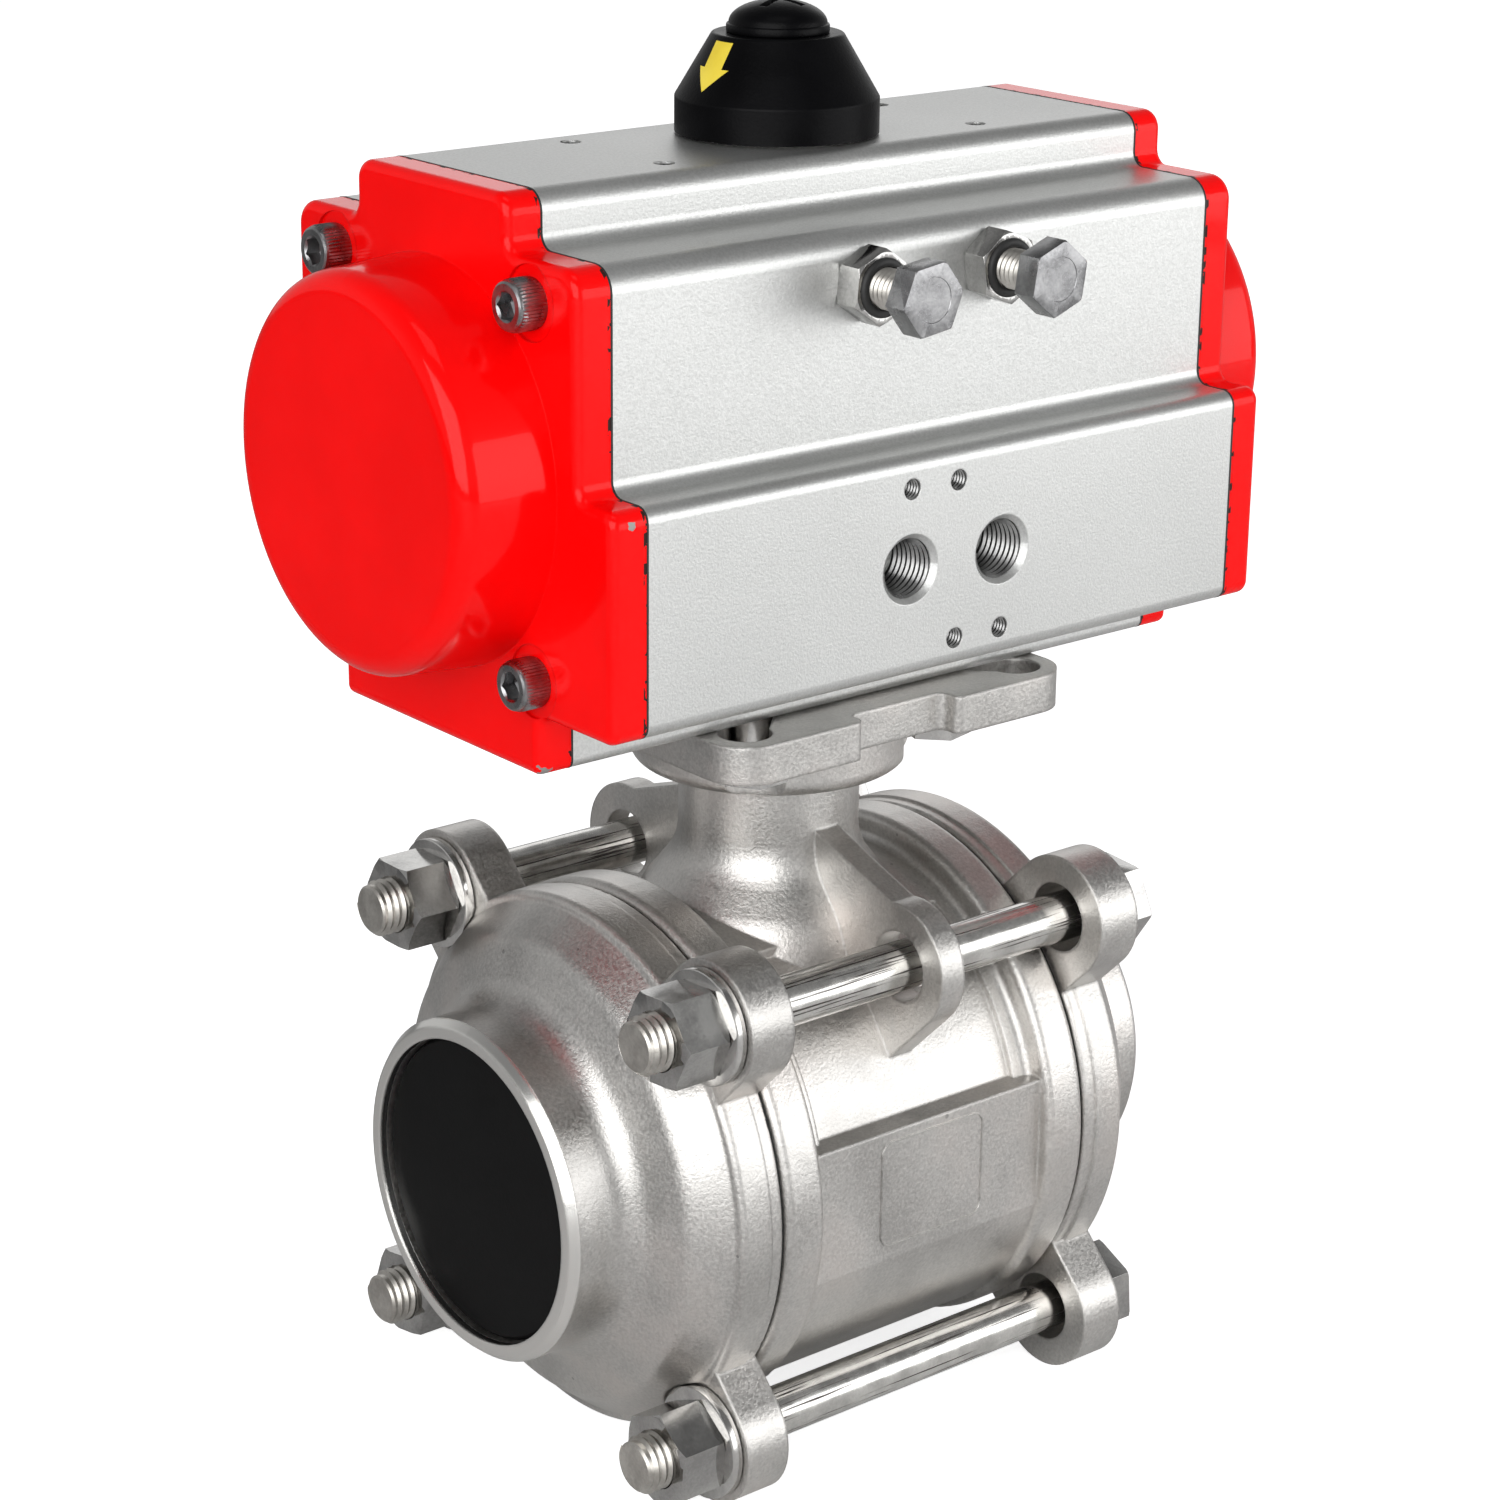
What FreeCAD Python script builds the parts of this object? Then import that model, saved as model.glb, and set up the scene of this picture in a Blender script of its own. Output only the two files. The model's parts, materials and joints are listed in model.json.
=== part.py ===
import FreeCAD, Part
import Sketcher
import math
import os
import re

# Spring-return pneumatic actuator on a three-piece ball valve.
# Frame: origin at the ball centre, X along the pipe, -Y the port side, Z up the stem.

sizeTable = [
    # pipe and ball valve
    ("faceToFace", 158, "weld face to weld face"),
    ("boreRadius", 32.5, "flow bore"),
    ("stubRadius", 36.5, "weld stub outside"),
    ("landRadius", 35, "weld land outside"),
    ("bevelDepth", 1.8, "weld bevel along the pipe"),
    ("bodyHalf", 41, "valve body joint face"),
    ("gasketThick", 0.8, "joint gasket"),
    ("gasketInner", 48, "gasket inside radius"),
    ("gasketOuter", 56, "gasket outside radius"),
    ("flangeRadius", 57.7, "body flange"),
    ("flangeInner", 31, "inner side of the body flange"),
    ("barrelRadius", 52, "upper barrel"),
    ("bellyRadius", 56, "lower barrel"),
    ("bellyTop", 14.2, "top of the lower barrel"),
    ("padFace", 54, "flat rating pad on the barrel"),
    ("panelHalf", 26.8, "sunk barrel panel half length"),
    ("panelDeep", 1.6, "sunk barrel panel depth"),
    ("panelStart", 23.5, "sunk barrel panel edge beside the neck"),
    ("cavityRadius", 47.5, "ball cavity"),
    ("ballRadius", 46, "ball"),
    ("seatGap", 0.3, "seat to ball"),
    ("seatReach", 28, "inner end of the seat ring"),
    ("seatOuter", 47.2, "seat ring outside radius"),
    ("collarRadius", 57.5, "end piece collar"),
    ("collarDepth", 10.5, "end piece collar along the pipe"),
    ("lipDepth", 3.2, "joint lip along the pipe"),
    ("lipDrop", 0.5, "joint lip below the collar"),
    ("shoulderRadius", 55.5, "end piece shoulder"),
    ("shoulderSet", 0.5, "start of the sloping shoulder past the collar"),
    ("ridgeRadius", 49.5, "end piece ridge"),
    ("ridgeReach", 60, "end piece ridge distance"),
    ("ridgeRound", 6, "end piece ridge rounding"),
    ("flareReach", 65, "foot of the flare on the stub"),
    ("flareRound", 8, "flare rounding"),
    # tie bolts and their lugs
    ("boltOffset", 46, "tie bolt centre from the pipe axis, both ways"),
    ("lugRadius", 13.5, "lug outside"),
    ("lugHole", 7.5, "lug hole radius"),
    ("lugWeb", 6, "middle lug thickness"),
    ("tieShank", 5.25, "tie bolt shank radius"),
    ("tieThread", 6, "tie bolt thread radius"),
    ("tieThreadLength", 31, "tie bolt threaded length"),
    ("tieFlats", 18, "tie bolt head and nut across flats"),
    ("tieHead", 7.6, "tie bolt head height"),
    ("tieNut", 10.8, "tie bolt nut height"),
    ("tieOverrun", 5.4, "thread past the nut"),
    ("tieWasher", 2.5, "tie bolt washer thickness"),
    ("tieWasherRadius", 12, "tie bolt washer"),
    # neck, boss and mounting pad
    ("neckRadius", 19.2, "valve neck"),
    ("neckFoot", 27, "neck flare at the barrel"),
    ("neckFootTop", 50, "height where the flare starts"),
    ("bossRadius", 29.5, "boss under the pad"),
    ("bossBottom", 79, "boss underside height"),
    ("padBottom", 92.5, "pad underside height"),
    ("padTop", 100.5, "pad top height"),
    ("padHalf", 45, "pad half width"),
    ("padCorner", 9, "pad corner rounding"),
    ("notchHalf", 12.5, "pad notch half width"),
    ("notchDepth", 5, "pad notch depth"),
    ("smallCircle", 24.75, "inner pad hole offset"),
    ("largeCircle", 36.06, "outer pad hole offset"),
    ("smallHole", 4.5, "inner pad hole radius"),
    ("largeHole", 5.5, "outer pad hole radius"),
    ("spotRadius", 8.8, "washer pocket in the boss"),
    # stem parts
    ("stemRadius", 12, "valve stem"),
    ("stemCollar", 15, "stem shoulder radius"),
    ("stemCollarBottom", 48, "stem shoulder underside"),
    ("stemCollarTop", 51.5, "stem shoulder top"),
    ("stemWasherTop", 53, "stem thrust washer top"),
    ("tongueWidth", 11.8, "stem tongue thickness"),
    ("tongueRadius", 14.5, "stem tongue half length"),
    ("tongueBottom", 37.6, "stem tongue bottom height"),
    ("slotFloor", 37.2, "ball slot floor height"),
    ("packingRadius", 16, "packing chamber"),
    ("packingBottom", 58, "packing chamber floor"),
    ("packingTop", 70, "packing top"),
    ("packingRings", 3, "packing ring count"),
    ("recessRadius", 24, "nut recess in the pad"),
    ("recessFloor", 80, "nut recess floor height"),
    ("glandFlange", 19, "gland flange radius"),
    ("glandFlangeThick", 1.9, "gland flange thickness"),
    ("springWasherRadius", 18, "spring washer outside"),
    ("springWasherThick", 1.8, "spring washer height"),
    ("stemNutFlats", 36, "stem nut across flats"),
    ("stemNutHeight", 8, "stem nut height"),
    ("lockWasherRadius", 20, "lock washer outside"),
    ("lockWasherThick", 1.5, "lock washer thickness"),
    ("squareBottom", 97, "stem square start height"),
    ("squareTop", 119, "stem square top height"),
    ("squareSize", 17, "stem square across flats"),
    # mounting screws
    ("mountShank", 4, "mounting screw radius"),
    ("mountLength", 25, "mounting screw length"),
    ("mountFlats", 13, "mounting screw across flats"),
    ("mountHead", 5.3, "mounting screw head height"),
    ("mountWasher", 1.6, "mounting washer thickness"),
    ("mountWasherRadius", 8, "mounting washer"),
    # actuator housing
    ("housingHalf", 76, "housing half length"),
    ("housingTop", 210, "housing top height"),
    ("topHalf", 24.8, "top section half width"),
    ("topStep", 199.2, "height of the top step"),
    ("sideHalf", 46, "middle section half width"),
    ("frontFace", 56.7, "port face distance"),
    ("frontTop", 156.9, "port face top height"),
    ("frontBottom", 112.4, "port face bottom height"),
    ("footHalf", 33.2, "foot half width"),
    ("cylinderRadius", 41.5, "cylinder bore"),
    ("cylinderHeight", 155.4, "cylinder axis height"),
    ("roundTop", 4, "top edge rounding"),
    ("roundSide", 5, "side edge rounding"),
    ("roundFoot", 2, "foot edge rounding"),
    ("hollowRound", 3, "concave corner rounding"),
    ("accessoryX", 40, "top hole offset along the pipe"),
    ("accessoryY", 15, "top hole offset across"),
    ("smallThread", 2.1, "M5 tapping radius"),
    ("smallThreadDepth", 9, "M5 hole depth"),
    # air ports
    ("portX", 12, "port offset"),
    ("portHeight", 134.4, "port height"),
    ("portRadius", 6.0, "port tapping radius"),
    ("portMouth", 7.1, "port mouth radius"),
    ("portDepth", 13, "port depth"),
    ("portSpread", 16, "port screw offset above and below"),
    ("airway", 2.5, "airway radius"),
    ("gallery", 2, "gallery radius"),
    ("galleryHeight", 122, "gallery height"),
    ("galleryDistance", 49.5, "gallery distance from the middle"),
    # end caps
    ("plateThick", 8, "end plate thickness"),
    ("plateRound", 2, "end plate rounding"),
    ("drumRoot", 40, "drum radius at the plate"),
    ("drumRim", 38.5, "drum radius at the rim"),
    ("drumFace", 104.2, "drum face distance"),
    ("drumRound", 4.5, "drum rim rounding"),
    ("drumWall", 4, "drum end wall"),
    ("drumInner", 35.5, "drum inside radius"),
    ("spigotRadius", 41.3, "cap spigot radius"),
    ("spigotLength", 5, "cap spigot length"),
    ("sealCord", 1.2, "cap seal cord radius"),
    ("capScrewY", 32, "cap screw offset across"),
    ("capScrewZ", 36, "cap screw offset up and down"),
    ("capScrewRadius", 3, "cap screw radius"),
    ("capScrewHead", 5, "cap screw head radius"),
    ("capScrewHeight", 6, "cap screw head height"),
    ("capScrewSocket", 5, "cap screw socket across flats"),
    ("capScrewGrip", 16, "cap screw thread in the housing"),
    ("spotDepth", 0.6, "screw spot face depth"),
    ("capSpot", 7.2, "screw spot face radius"),
    # pistons
    ("pistonInner", 30, "piston inner face"),
    ("pistonThick", 14, "piston head thickness"),
    ("pistonGap", 0.3, "piston head to cylinder"),
    ("ringGap", 0.05, "piston ring to cylinder"),
    ("guideWidth", 3, "guide ring width"),
    ("pistonCord", 1.5, "piston seal cord radius"),
    ("armOuter", 34, "rack arm back distance"),
    ("armHalf", 16.4, "rack arm half height"),
    ("armReach", 28, "rack arm reach"),
    ("springRadius", 8, "spring outside radius"),
    ("springWire", 1.1, "spring wire radius"),
    ("springTurns", 7, "spring turns"),
    ("springOffset", 16.5, "spring centre offset both ways"),
    ("springSeat", 4, "spring seat depth"),
    # gear
    ("gearModule", 2, "gear module"),
    ("gearTeeth", 14, "pinion teeth"),
    ("gearAngle", 20, "pressure angle"),
    ("gearThin", 0.2, "flank clearance"),
    ("gearAddendum", 1.6, "pinion addendum"),
    ("gearDedendum", 2, "pinion dedendum"),
    ("rackAddendum", 1.4, "rack addendum"),
    ("gearHalf", 14, "pinion tooth half height"),
    ("gearRelief", 0.6, "pinion core past the rack"),
    # pinion shaft
    ("pinionBottom", 101.5, "pinion lower end"),
    ("pinionLower", 11.3, "pinion core radius"),
    ("lowerJournal", 15, "lower journal radius"),
    ("upperJournal", 13, "upper journal radius"),
    ("pinionShoulder", 214.5, "pinion shoulder height"),
    ("pinionTip", 9.5, "pinion top end radius"),
    ("driveDepth", 19, "star bore depth"),
    ("camBottom", 184, "stop cam underside"),
    ("camThick", 10, "stop cam thickness"),
    ("camRadius", 24, "stop cam radius"),
    ("camFlat", 15, "stop cam flat distance"),
    ("bearingWall", 2.5, "bearing wall"),
    ("lowerBearingBottom", 103.1, "lower bearing underside"),
    ("lowerBearingHeight", 6, "lower bearing height"),
    ("upperBearingBottom", 196, "upper bearing underside"),
    ("upperBearingHeight", 6.5, "upper bearing height"),
    ("upperSealHeight", 205.8, "upper seal height"),
    ("shaftCord", 1.1, "shaft seal cord radius"),
    ("runGap", 0.05, "running clearance"),
    ("faceGap", 0.1, "gap between turning faces"),
    ("looseGap", 0.3, "open clearance"),
    # indicator
    ("skirtRadius", 20.5, "indicator skirt"),
    ("skirtTop", 217.5, "indicator skirt height"),
    ("crownRadius", 13.1, "indicator crown"),
    ("crownTop", 230, "indicator crown height"),
    ("indicatorWall", 2.2, "indicator wall"),
    ("knobRadius", 10.3, "indicator screw head"),
    ("knobHeight", 6.4, "indicator screw head height"),
    ("knobShank", 3, "indicator screw radius"),
    ("knobLength", 14, "indicator screw length"),
    ("arrowDepth", 0.8, "arrow inlay depth"),
    ("arrowTip", 219.7, "arrow point height"),
    ("arrowNeck", 224.1, "height where the head meets the tail"),
    ("arrowEnd", 229, "arrow tail top height"),
    ("arrowHead", 4.4, "arrow head half width"),
    ("arrowTail", 2.6, "arrow tail half width"),
    ("thrustRadius", 17, "thrust washer radius"),
    ("thrustThick", 1.5, "thrust washer thickness"),
    ("clipRadius", 15.2, "snap ring radius"),
    ("clipThick", 1.2, "snap ring thickness"),
    ("clipDepth", 0.8, "snap ring groove depth"),
    # stop bolts
    ("stopX", 16.2, "stop bolt offset"),
    ("stopHeight", 189.2, "stop bolt height"),
    ("stopRadius", 4, "stop bolt radius"),
    ("stopFlats", 13, "stop bolt across flats"),
    ("stopHead", 5.3, "stop bolt head height"),
    ("stopExposed", 14.7, "stop bolt length outside"),
    ("stopGap", 0.2, "stop bolt tip to cam"),
    ("stopNut", 6, "jam nut height"),
    ("stopSeal", 1, "jam nut seal height"),
    # dust plugs
    ("plugGap", 0.3, "plug to bore"),
    ("plugInset", 2.5, "plug face below the weld face"),
    ("plugDepth", 12.5, "plug depth"),
    ("plugWall", 2.5, "plug wall"),
    ("plugEdge", 0.8, "plug edge chamfer"),
    ("fitGap", 0.1, "clearance in a hole"),
]

os.makedirs("parts", exist_ok=True)
doc = FreeCAD.newDocument("ActuatedValve")
sheet = doc.addObject("Spreadsheet::Sheet", "sizes")
for row, (alias, number, note) in enumerate(sizeTable, start=1):
    sheet.set(f"A{row}", alias)
    sheet.set(f"B{row}", str(number))
    sheet.set(f"C{row}", note)
    sheet.setAlias(f"B{row}", alias)
doc.recompute()
aliases = {line[0] for line in sizeTable}

axisX = FreeCAD.Rotation(FreeCAD.Vector(0, 1, 0), 90)
axisY = FreeCAD.Rotation(FreeCAD.Vector(1, 0, 0), -90)
axisZ = FreeCAD.Rotation()
turnOf = {"X": axisX, "Y": axisY, "Z": axisZ}
nodes = []


def bound(text):
    """Point every alias in a formula at the sheet."""
    return re.sub(r"[A-Za-z]\w*", lambda word: "sizes." + word[0] if word[0] in aliases else word[0], str(text))


def value(text):
    found = sheet.evalExpression(bound(text))
    return float(getattr(found, "Value", found))


def bind(item, **formulas):
    for name, text in formulas.items():
        item.setExpression(name, bound(text))
    return item


def place(item, x=0, y=0, z=0, turn=axisZ):
    item.Placement = FreeCAD.Placement(FreeCAD.Vector(), turn)
    for letter, text in (("x", x), ("y", y), ("z", z)):
        item.setExpression(f"Placement.Base.{letter}", bound(text))
    return item


def cylinder(axis, x, y, z, radius, length):
    rod = doc.addObject("Part::Cylinder", "rod")
    bind(rod, Radius=radius, Height=length)
    return place(rod, x, y, z, turnOf[axis])


def cone(axis, x, y, z, radiusOne, radiusTwo, length):
    taper = doc.addObject("Part::Cone", "taper")
    bind(taper, Radius1=radiusOne, Radius2=radiusTwo, Height=length)
    return place(taper, x, y, z, turnOf[axis])


def box(x, y, z, length, width, height):
    block = doc.addObject("Part::Box", "block")
    bind(block, Length=length, Width=width, Height=height)
    return place(block, x, y, z)


def hexagon(axis, x, y, z, flats, length, degrees=0):
    prism = doc.addObject("Part::Prism", "hexagon")
    prism.Polygon = 6
    bind(prism, Circumradius=f"({flats})/sqrt(3)", Height=length)
    return place(prism, x, y, z, turnOf[axis] * FreeCAD.Rotation(FreeCAD.Vector(0, 0, 1), degrees))


def hoop(axis, x, y, z, radius, cord):
    ring = doc.addObject("Part::Torus", "hoop")
    bind(ring, Radius1=radius, Radius2=cord)
    return place(ring, x, y, z, turnOf[axis])


def fuse(*items):
    joined = doc.addObject("Part::MultiFuse", "joined")
    joined.Shapes = list(items)
    joined.Refine = False
    return joined


def cut(base, *tools):
    tool = tools[0]
    if len(tools) > 1:
        tool = doc.addObject("Part::Compound", "tools")
        tool.Links = list(tools)
    pierced = doc.addObject("Part::Cut", "pierced")
    pierced.Base = base
    pierced.Tool = tool
    return pierced


def common(base, tool):
    shared = doc.addObject("Part::Common", "shared")
    shared.Base = base
    shared.Tool = tool
    return shared


def gather(items):
    group = doc.addObject("Part::Compound", "gathered")
    group.Links = list(items)
    return group


def mirrored(item):
    """Copy across the plane through the stem, square to the pipe."""
    copy = doc.addObject("Part::Mirroring", "mirrored")
    copy.Source = item
    copy.Normal = FreeCAD.Vector(1, 0, 0)
    return copy


def node(label, item):
    item.Label = label
    nodes.append(item)
    return item


def bothEnds(name, rightItem):
    node("right_" + name, rightItem)
    node("left_" + name, mirrored(rightItem))


def profile(body, role, corners):
    """Closed polygon on an origin plane, each corner held at its own two sizes."""
    sketch = body.newObject("Sketcher::SketchObject", "outline")
    plane = [item for item in body.Origin.OriginFeatures if item.Role == role][0]
    sketch.AttachmentSupport = (plane, [""])
    sketch.MapMode = "FlatFace"
    spots = [FreeCAD.Vector(value(corner[0]), value(corner[1]), 0) for corner in corners]
    edges = []
    for i, spot in enumerate(spots):
        edges.append(sketch.addGeometry(Part.LineSegment(spot, spots[(i + 1) % len(spots)]), False))
    for i, corner in enumerate(corners):
        sketch.addConstraint(Sketcher.Constraint("Coincident", edges[i - 1], 2, edges[i], 1))
        for kind, text in (("DistanceX", corner[0]), ("DistanceY", corner[1])):
            rule = sketch.addConstraint(Sketcher.Constraint(kind, edges[i], 1, value(text)))
            sketch.setExpression(f"Constraints[{rule}]", bound(text))
    return sketch


def soften(body, feature, corners, isThere):
    """Round the edges at every corner that carries a third value, one fillet for each radius."""
    last = feature
    for radius in sorted({corner[2] for corner in corners if len(corner) > 2}):
        for item in (last, body):
            item.recompute()
        spots = [(value(corner[0]), value(corner[1])) for corner in corners if corner[2:] == (radius,)]
        names = [f"Edge{i + 1}" for i, edge in enumerate(last.Shape.Edges) if any(isThere(edge, *at) for at in spots)]
        if len(names) != len(spots):
            raise SystemExit(f"{body.Name}: {len(names)} edges for {len(spots)} corners")
        rounding = body.newObject("PartDesign::Fillet", "rounding")
        rounding.Base = (last, names)
        bind(rounding, Radius=radius)
        last = rounding
    last.recompute()
    return last


def turned(axis, corners, x=0, z=0):
    """Solid of revolution: corners are (along X, radius) about X, or (radius, height) about Z."""
    body = doc.addObject("PartDesign::Body", "turned")
    sketch = profile(body, "XZ_Plane", corners)
    sketch.recompute()
    spin = body.newObject("PartDesign::Revolution", "spin")
    spin.Profile = sketch
    spin.ReferenceAxis = (sketch, ["H_Axis" if axis == "X" else "V_Axis"])
    spin.Angle = 360

    def isCircleAt(edge, across, up):
        along, radius = (across, up) if axis == "X" else (up, across)
        if edge.Curve.TypeId != "Part::GeomCircle":
            return False
        middle = edge.Curve.Center.x if axis == "X" else edge.Curve.Center.z
        return abs(middle - along) < 1e-4 and abs(edge.Curve.Radius - radius) < 1e-4

    soften(body, spin, corners, isCircleAt)
    return place(body, x, 0, z)


def extruded(role, corners, length, x=0, y=0, z=0, turn=axisZ):
    body = doc.addObject("PartDesign::Body", "extruded")
    sketch = profile(body, role, corners)
    sketch.recompute()
    pad = body.newObject("PartDesign::Pad", "pad")
    pad.Profile = sketch
    bind(pad, Length=length)

    def isLineAt(edge, across, up):
        ends = []
        for corner in edge.Vertexes:
            flat = {"XY_Plane": (corner.X, corner.Y), "XZ_Plane": (corner.X, corner.Z),
                    "YZ_Plane": (corner.Y, corner.Z)}[role]
            ends.append(abs(flat[0] - across) < 1e-4 and abs(flat[1] - up) < 1e-4)
        return all(ends)

    soften(body, pad, corners, isLineAt)
    return place(body, x, y, z, turn)


def ringAbout(axis, x, y, z, inner, outer, length):
    over = "0.5"
    start = {"X": (f"{x}-{over}", y, z), "Y": (x, f"{y}-{over}", z), "Z": (x, y, f"{z}-{over}")}[axis]
    hole = cylinder(axis, *start, inner, f"({length})+1")
    return cut(cylinder(axis, x, y, z, outer, length), hole)


# ---------------------------------------------------------------- actuator housing
def housingCorners():
    return [
        ("-topHalf", "housingTop", "roundTop"),
        ("topHalf", "housingTop", "roundTop"),
        ("topHalf", "topStep", "hollowRound"),
        ("sideHalf", "topStep", "roundSide"),
        ("sideHalf", "frontBottom", "roundFoot"),
        ("footHalf", "frontBottom", "roundFoot"),
        ("footHalf", "padTop", "roundFoot"),
        ("-footHalf", "padTop", "roundFoot"),
        ("-footHalf", "frontBottom", "roundFoot"),
        ("-frontFace", "frontBottom", "hollowRound"),
        ("-frontFace", "frontTop", "hollowRound"),
        ("-sideHalf", "frontTop", "hollowRound"),
        ("-sideHalf", "topStep", "roundSide"),
        ("-topHalf", "topStep", "hollowRound"),
    ]


def actuatorHousing():
    blank = extruded("YZ_Plane", housingCorners(), "2*housingHalf", x="-housingHalf")
    holes = [cylinder("X", "-housingHalf-1", 0, "cylinderHeight", "cylinderRadius", "2*housingHalf+2")]
    holes.append(cylinder("Z", 0, 0, "padTop-1", "lowerJournal+looseGap", 30))
    holes.append(cylinder("Z", 0, 0, "lowerBearingBottom-faceGap", "lowerJournal+bearingWall+fitGap", 15))
    holes.append(cylinder("Z", 0, 0, "camBottom-1", "upperJournal+looseGap", "housingTop-camBottom+2"))
    bearingTop = "upperBearingBottom+upperBearingHeight+faceGap"
    holes.append(cylinder("Z", 0, 0, "camBottom", "upperJournal+bearingWall+fitGap", f"{bearingTop}-camBottom"))
    holes.append(cylinder("Z", 0, 0, "camBottom-3", "camRadius+1.5", "camThick+3.7"))
    sealDeep = "upperJournal+runGap+2*shaftCord+fitGap"
    holes.append(cylinder("Z", 0, 0, "upperSealHeight-shaftCord-fitGap", sealDeep, "2*(shaftCord+fitGap)"))
    for side in ("-", ""):
        # air port with its chamfered mouth
        holes.append(cylinder("Y", f"{side}portX", "-frontFace-1", "portHeight", "portRadius", "portDepth+1"))
        mouth = "portMouth-portRadius"
        holes.append(cone("Y", f"{side}portX", "-frontFace", "portHeight", "portMouth", "portRadius", mouth))
        # stop bolt thread
        holes.append(cylinder("Y", f"{side}stopX", "-sideHalf-1", "stopHeight", "stopRadius+fitGap", 30))
        for across in ("-", ""):
            deep = "smallThreadDepth"
            holes.append(cylinder("Z", f"{side}accessoryX", f"{across}accessoryY", f"housingTop-{deep}",
                                  "smallThread", f"{deep}+1"))
            holes.append(cylinder("Z", f"{side}smallCircle", f"{across}smallCircle", "padTop-1",
                                  "mountShank+fitGap", "mountLength-(padTop-padBottom)+1"))
            for end in ("-", ""):
                start = "-housingHalf-1" if end else "housingHalf-capScrewGrip"
                holes.append(cylinder("X", start, f"{side}capScrewY", f"cylinderHeight{across or '+'}capScrewZ",
                                      "capScrewRadius+fitGap", "capScrewGrip+1"))
    for x, z in (("-portX", "+portSpread"), ("0", "+portSpread"), ("0", "-portSpread"), ("portX", "-portSpread")):
        holes.append(cylinder("Y", x, "-frontFace-1", f"portHeight{z}", "smallThread", "smallThreadDepth+1"))
    # port A feeds the middle chamber, port B the gallery to both outer chambers
    holes.append(cylinder("Y", "-portX", "-frontFace", "portHeight", "airway", "frontFace-cylinderRadius/2"))
    holes.append(cylinder("Z", "portX", "-galleryDistance", "galleryHeight", "gallery", "portHeight-galleryHeight"))
    holes.append(cylinder("X", "-housingHalf-1", "-galleryDistance", "galleryHeight", "gallery", "2*housingHalf+2"))
    node("actuator_body", cut(blank, *holes))


# ---------------------------------------------------------------- end caps
def capScrewPlaces():
    return [(f"{across}capScrewY", f"cylinderHeight{up}capScrewZ") for across in ("", "-") for up in ("+", "-")]


def endCap():
    plate = extruded("YZ_Plane", housingCorners(), "plateThick", x="housingHalf")
    doc.recompute()
    pad = plate.Tip
    reach = max(face.CenterOfMass.x for face in pad.Shape.Faces)
    front = [f"Face{i + 1}" for i, face in enumerate(pad.Shape.Faces) if face.CenterOfMass.x > reach - 0.001]
    soft = plate.newObject("PartDesign::Fillet", "soft")
    soft.Base = (pad, front)
    bind(soft, Radius="plateRound")
    face = "housingHalf+plateThick"
    groove = "housingHalf-spigotLength/2-sealCord-fitGap"
    grooveEnd = "housingHalf-spigotLength/2+sealCord+fitGap"
    grooveFloor = "cylinderRadius-2*sealCord-runGap-fitGap"
    drum = turned("X", [
        ("housingHalf-spigotLength", "0"),
        ("housingHalf-spigotLength", "spigotRadius"),
        (groove, "spigotRadius"),
        (groove, grooveFloor),
        (grooveEnd, grooveFloor),
        (grooveEnd, "spigotRadius"),
        ("housingHalf+plateThick/2", "spigotRadius"),
        ("housingHalf+plateThick/2", "drumRoot"),
        (face, "drumRoot"),
        ("drumFace", "drumRim", "drumRound"),
        ("drumFace", "0"),
    ], z="cylinderHeight")
    holes = [cylinder("X", "housingHalf-spigotLength-1", 0, "cylinderHeight", "drumInner",
                      "drumFace-drumWall-housingHalf+spigotLength+1")]
    for y, z in capScrewPlaces():
        holes.append(cylinder("X", "housingHalf-1", y, z, "capScrewRadius+looseGap", "plateThick+2"))
        holes.append(cylinder("X", f"{face}-spotDepth", y, z, "capSpot", "spotDepth+capScrewHeight+2"))
    bothEnds("end_cap", cut(fuse(plate, drum), *holes))
    sealMiddle = "housingHalf-spigotLength/2"
    seal = hoop("X", sealMiddle, 0, "cylinderHeight", "cylinderRadius-sealCord-runGap", "sealCord")
    bothEnds("cap_seal", seal)
    screws = []
    for y, z in capScrewPlaces():
        seat = f"{face}-spotDepth"
        head = cylinder("X", seat, y, z, "capScrewHead", "capScrewHeight")
        shank = cylinder("X", "housingHalf-capScrewGrip+1", y, z, "capScrewRadius",
                         "capScrewGrip+plateThick-spotDepth")
        socket = hexagon("X", f"{seat}+capScrewHeight/2", y, z, "capScrewSocket", "capScrewHeight", 15)
        screws.append(cut(fuse(head, shank), socket))
    bothEnds("cap_screws", gather(screws))


# ---------------------------------------------------------------- pistons and springs
def springPlaces():
    return [(f"{across}springOffset", f"cylinderHeight{up}springOffset") for across in ("", "-") for up in ("+", "-")]


def rackCorners():
    pitch = "(pi*gearModule)"
    pitchLine = "gearModule*gearTeeth/2"
    slope = math.tan(math.radians(value("gearAngle")))
    corners = [("-pistonInner-1", "armOuter"), ("-pistonInner-1", f"{pitchLine}+gearDedendum")]
    for tooth in range(-2, 4):
        middle = f"{pitch}*{tooth + 0.5}"
        rootHalf = f"({pitch}/4-gearThin+gearDedendum*{slope:.6f})"
        tipHalf = f"({pitch}/4-gearThin-rackAddendum*{slope:.6f})"
        corners.append((f"{middle}-{rootHalf}", f"{pitchLine}+gearDedendum"))
        corners.append((f"{middle}-{tipHalf}", f"{pitchLine}-rackAddendum"))
        corners.append((f"{middle}+{tipHalf}", f"{pitchLine}-rackAddendum"))
        corners.append((f"{middle}+{rootHalf}", f"{pitchLine}+gearDedendum"))
    corners.append(("armReach", f"{pitchLine}+gearDedendum"))
    corners.append(("armReach", "armOuter", "roundTop"))
    return corners


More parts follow.
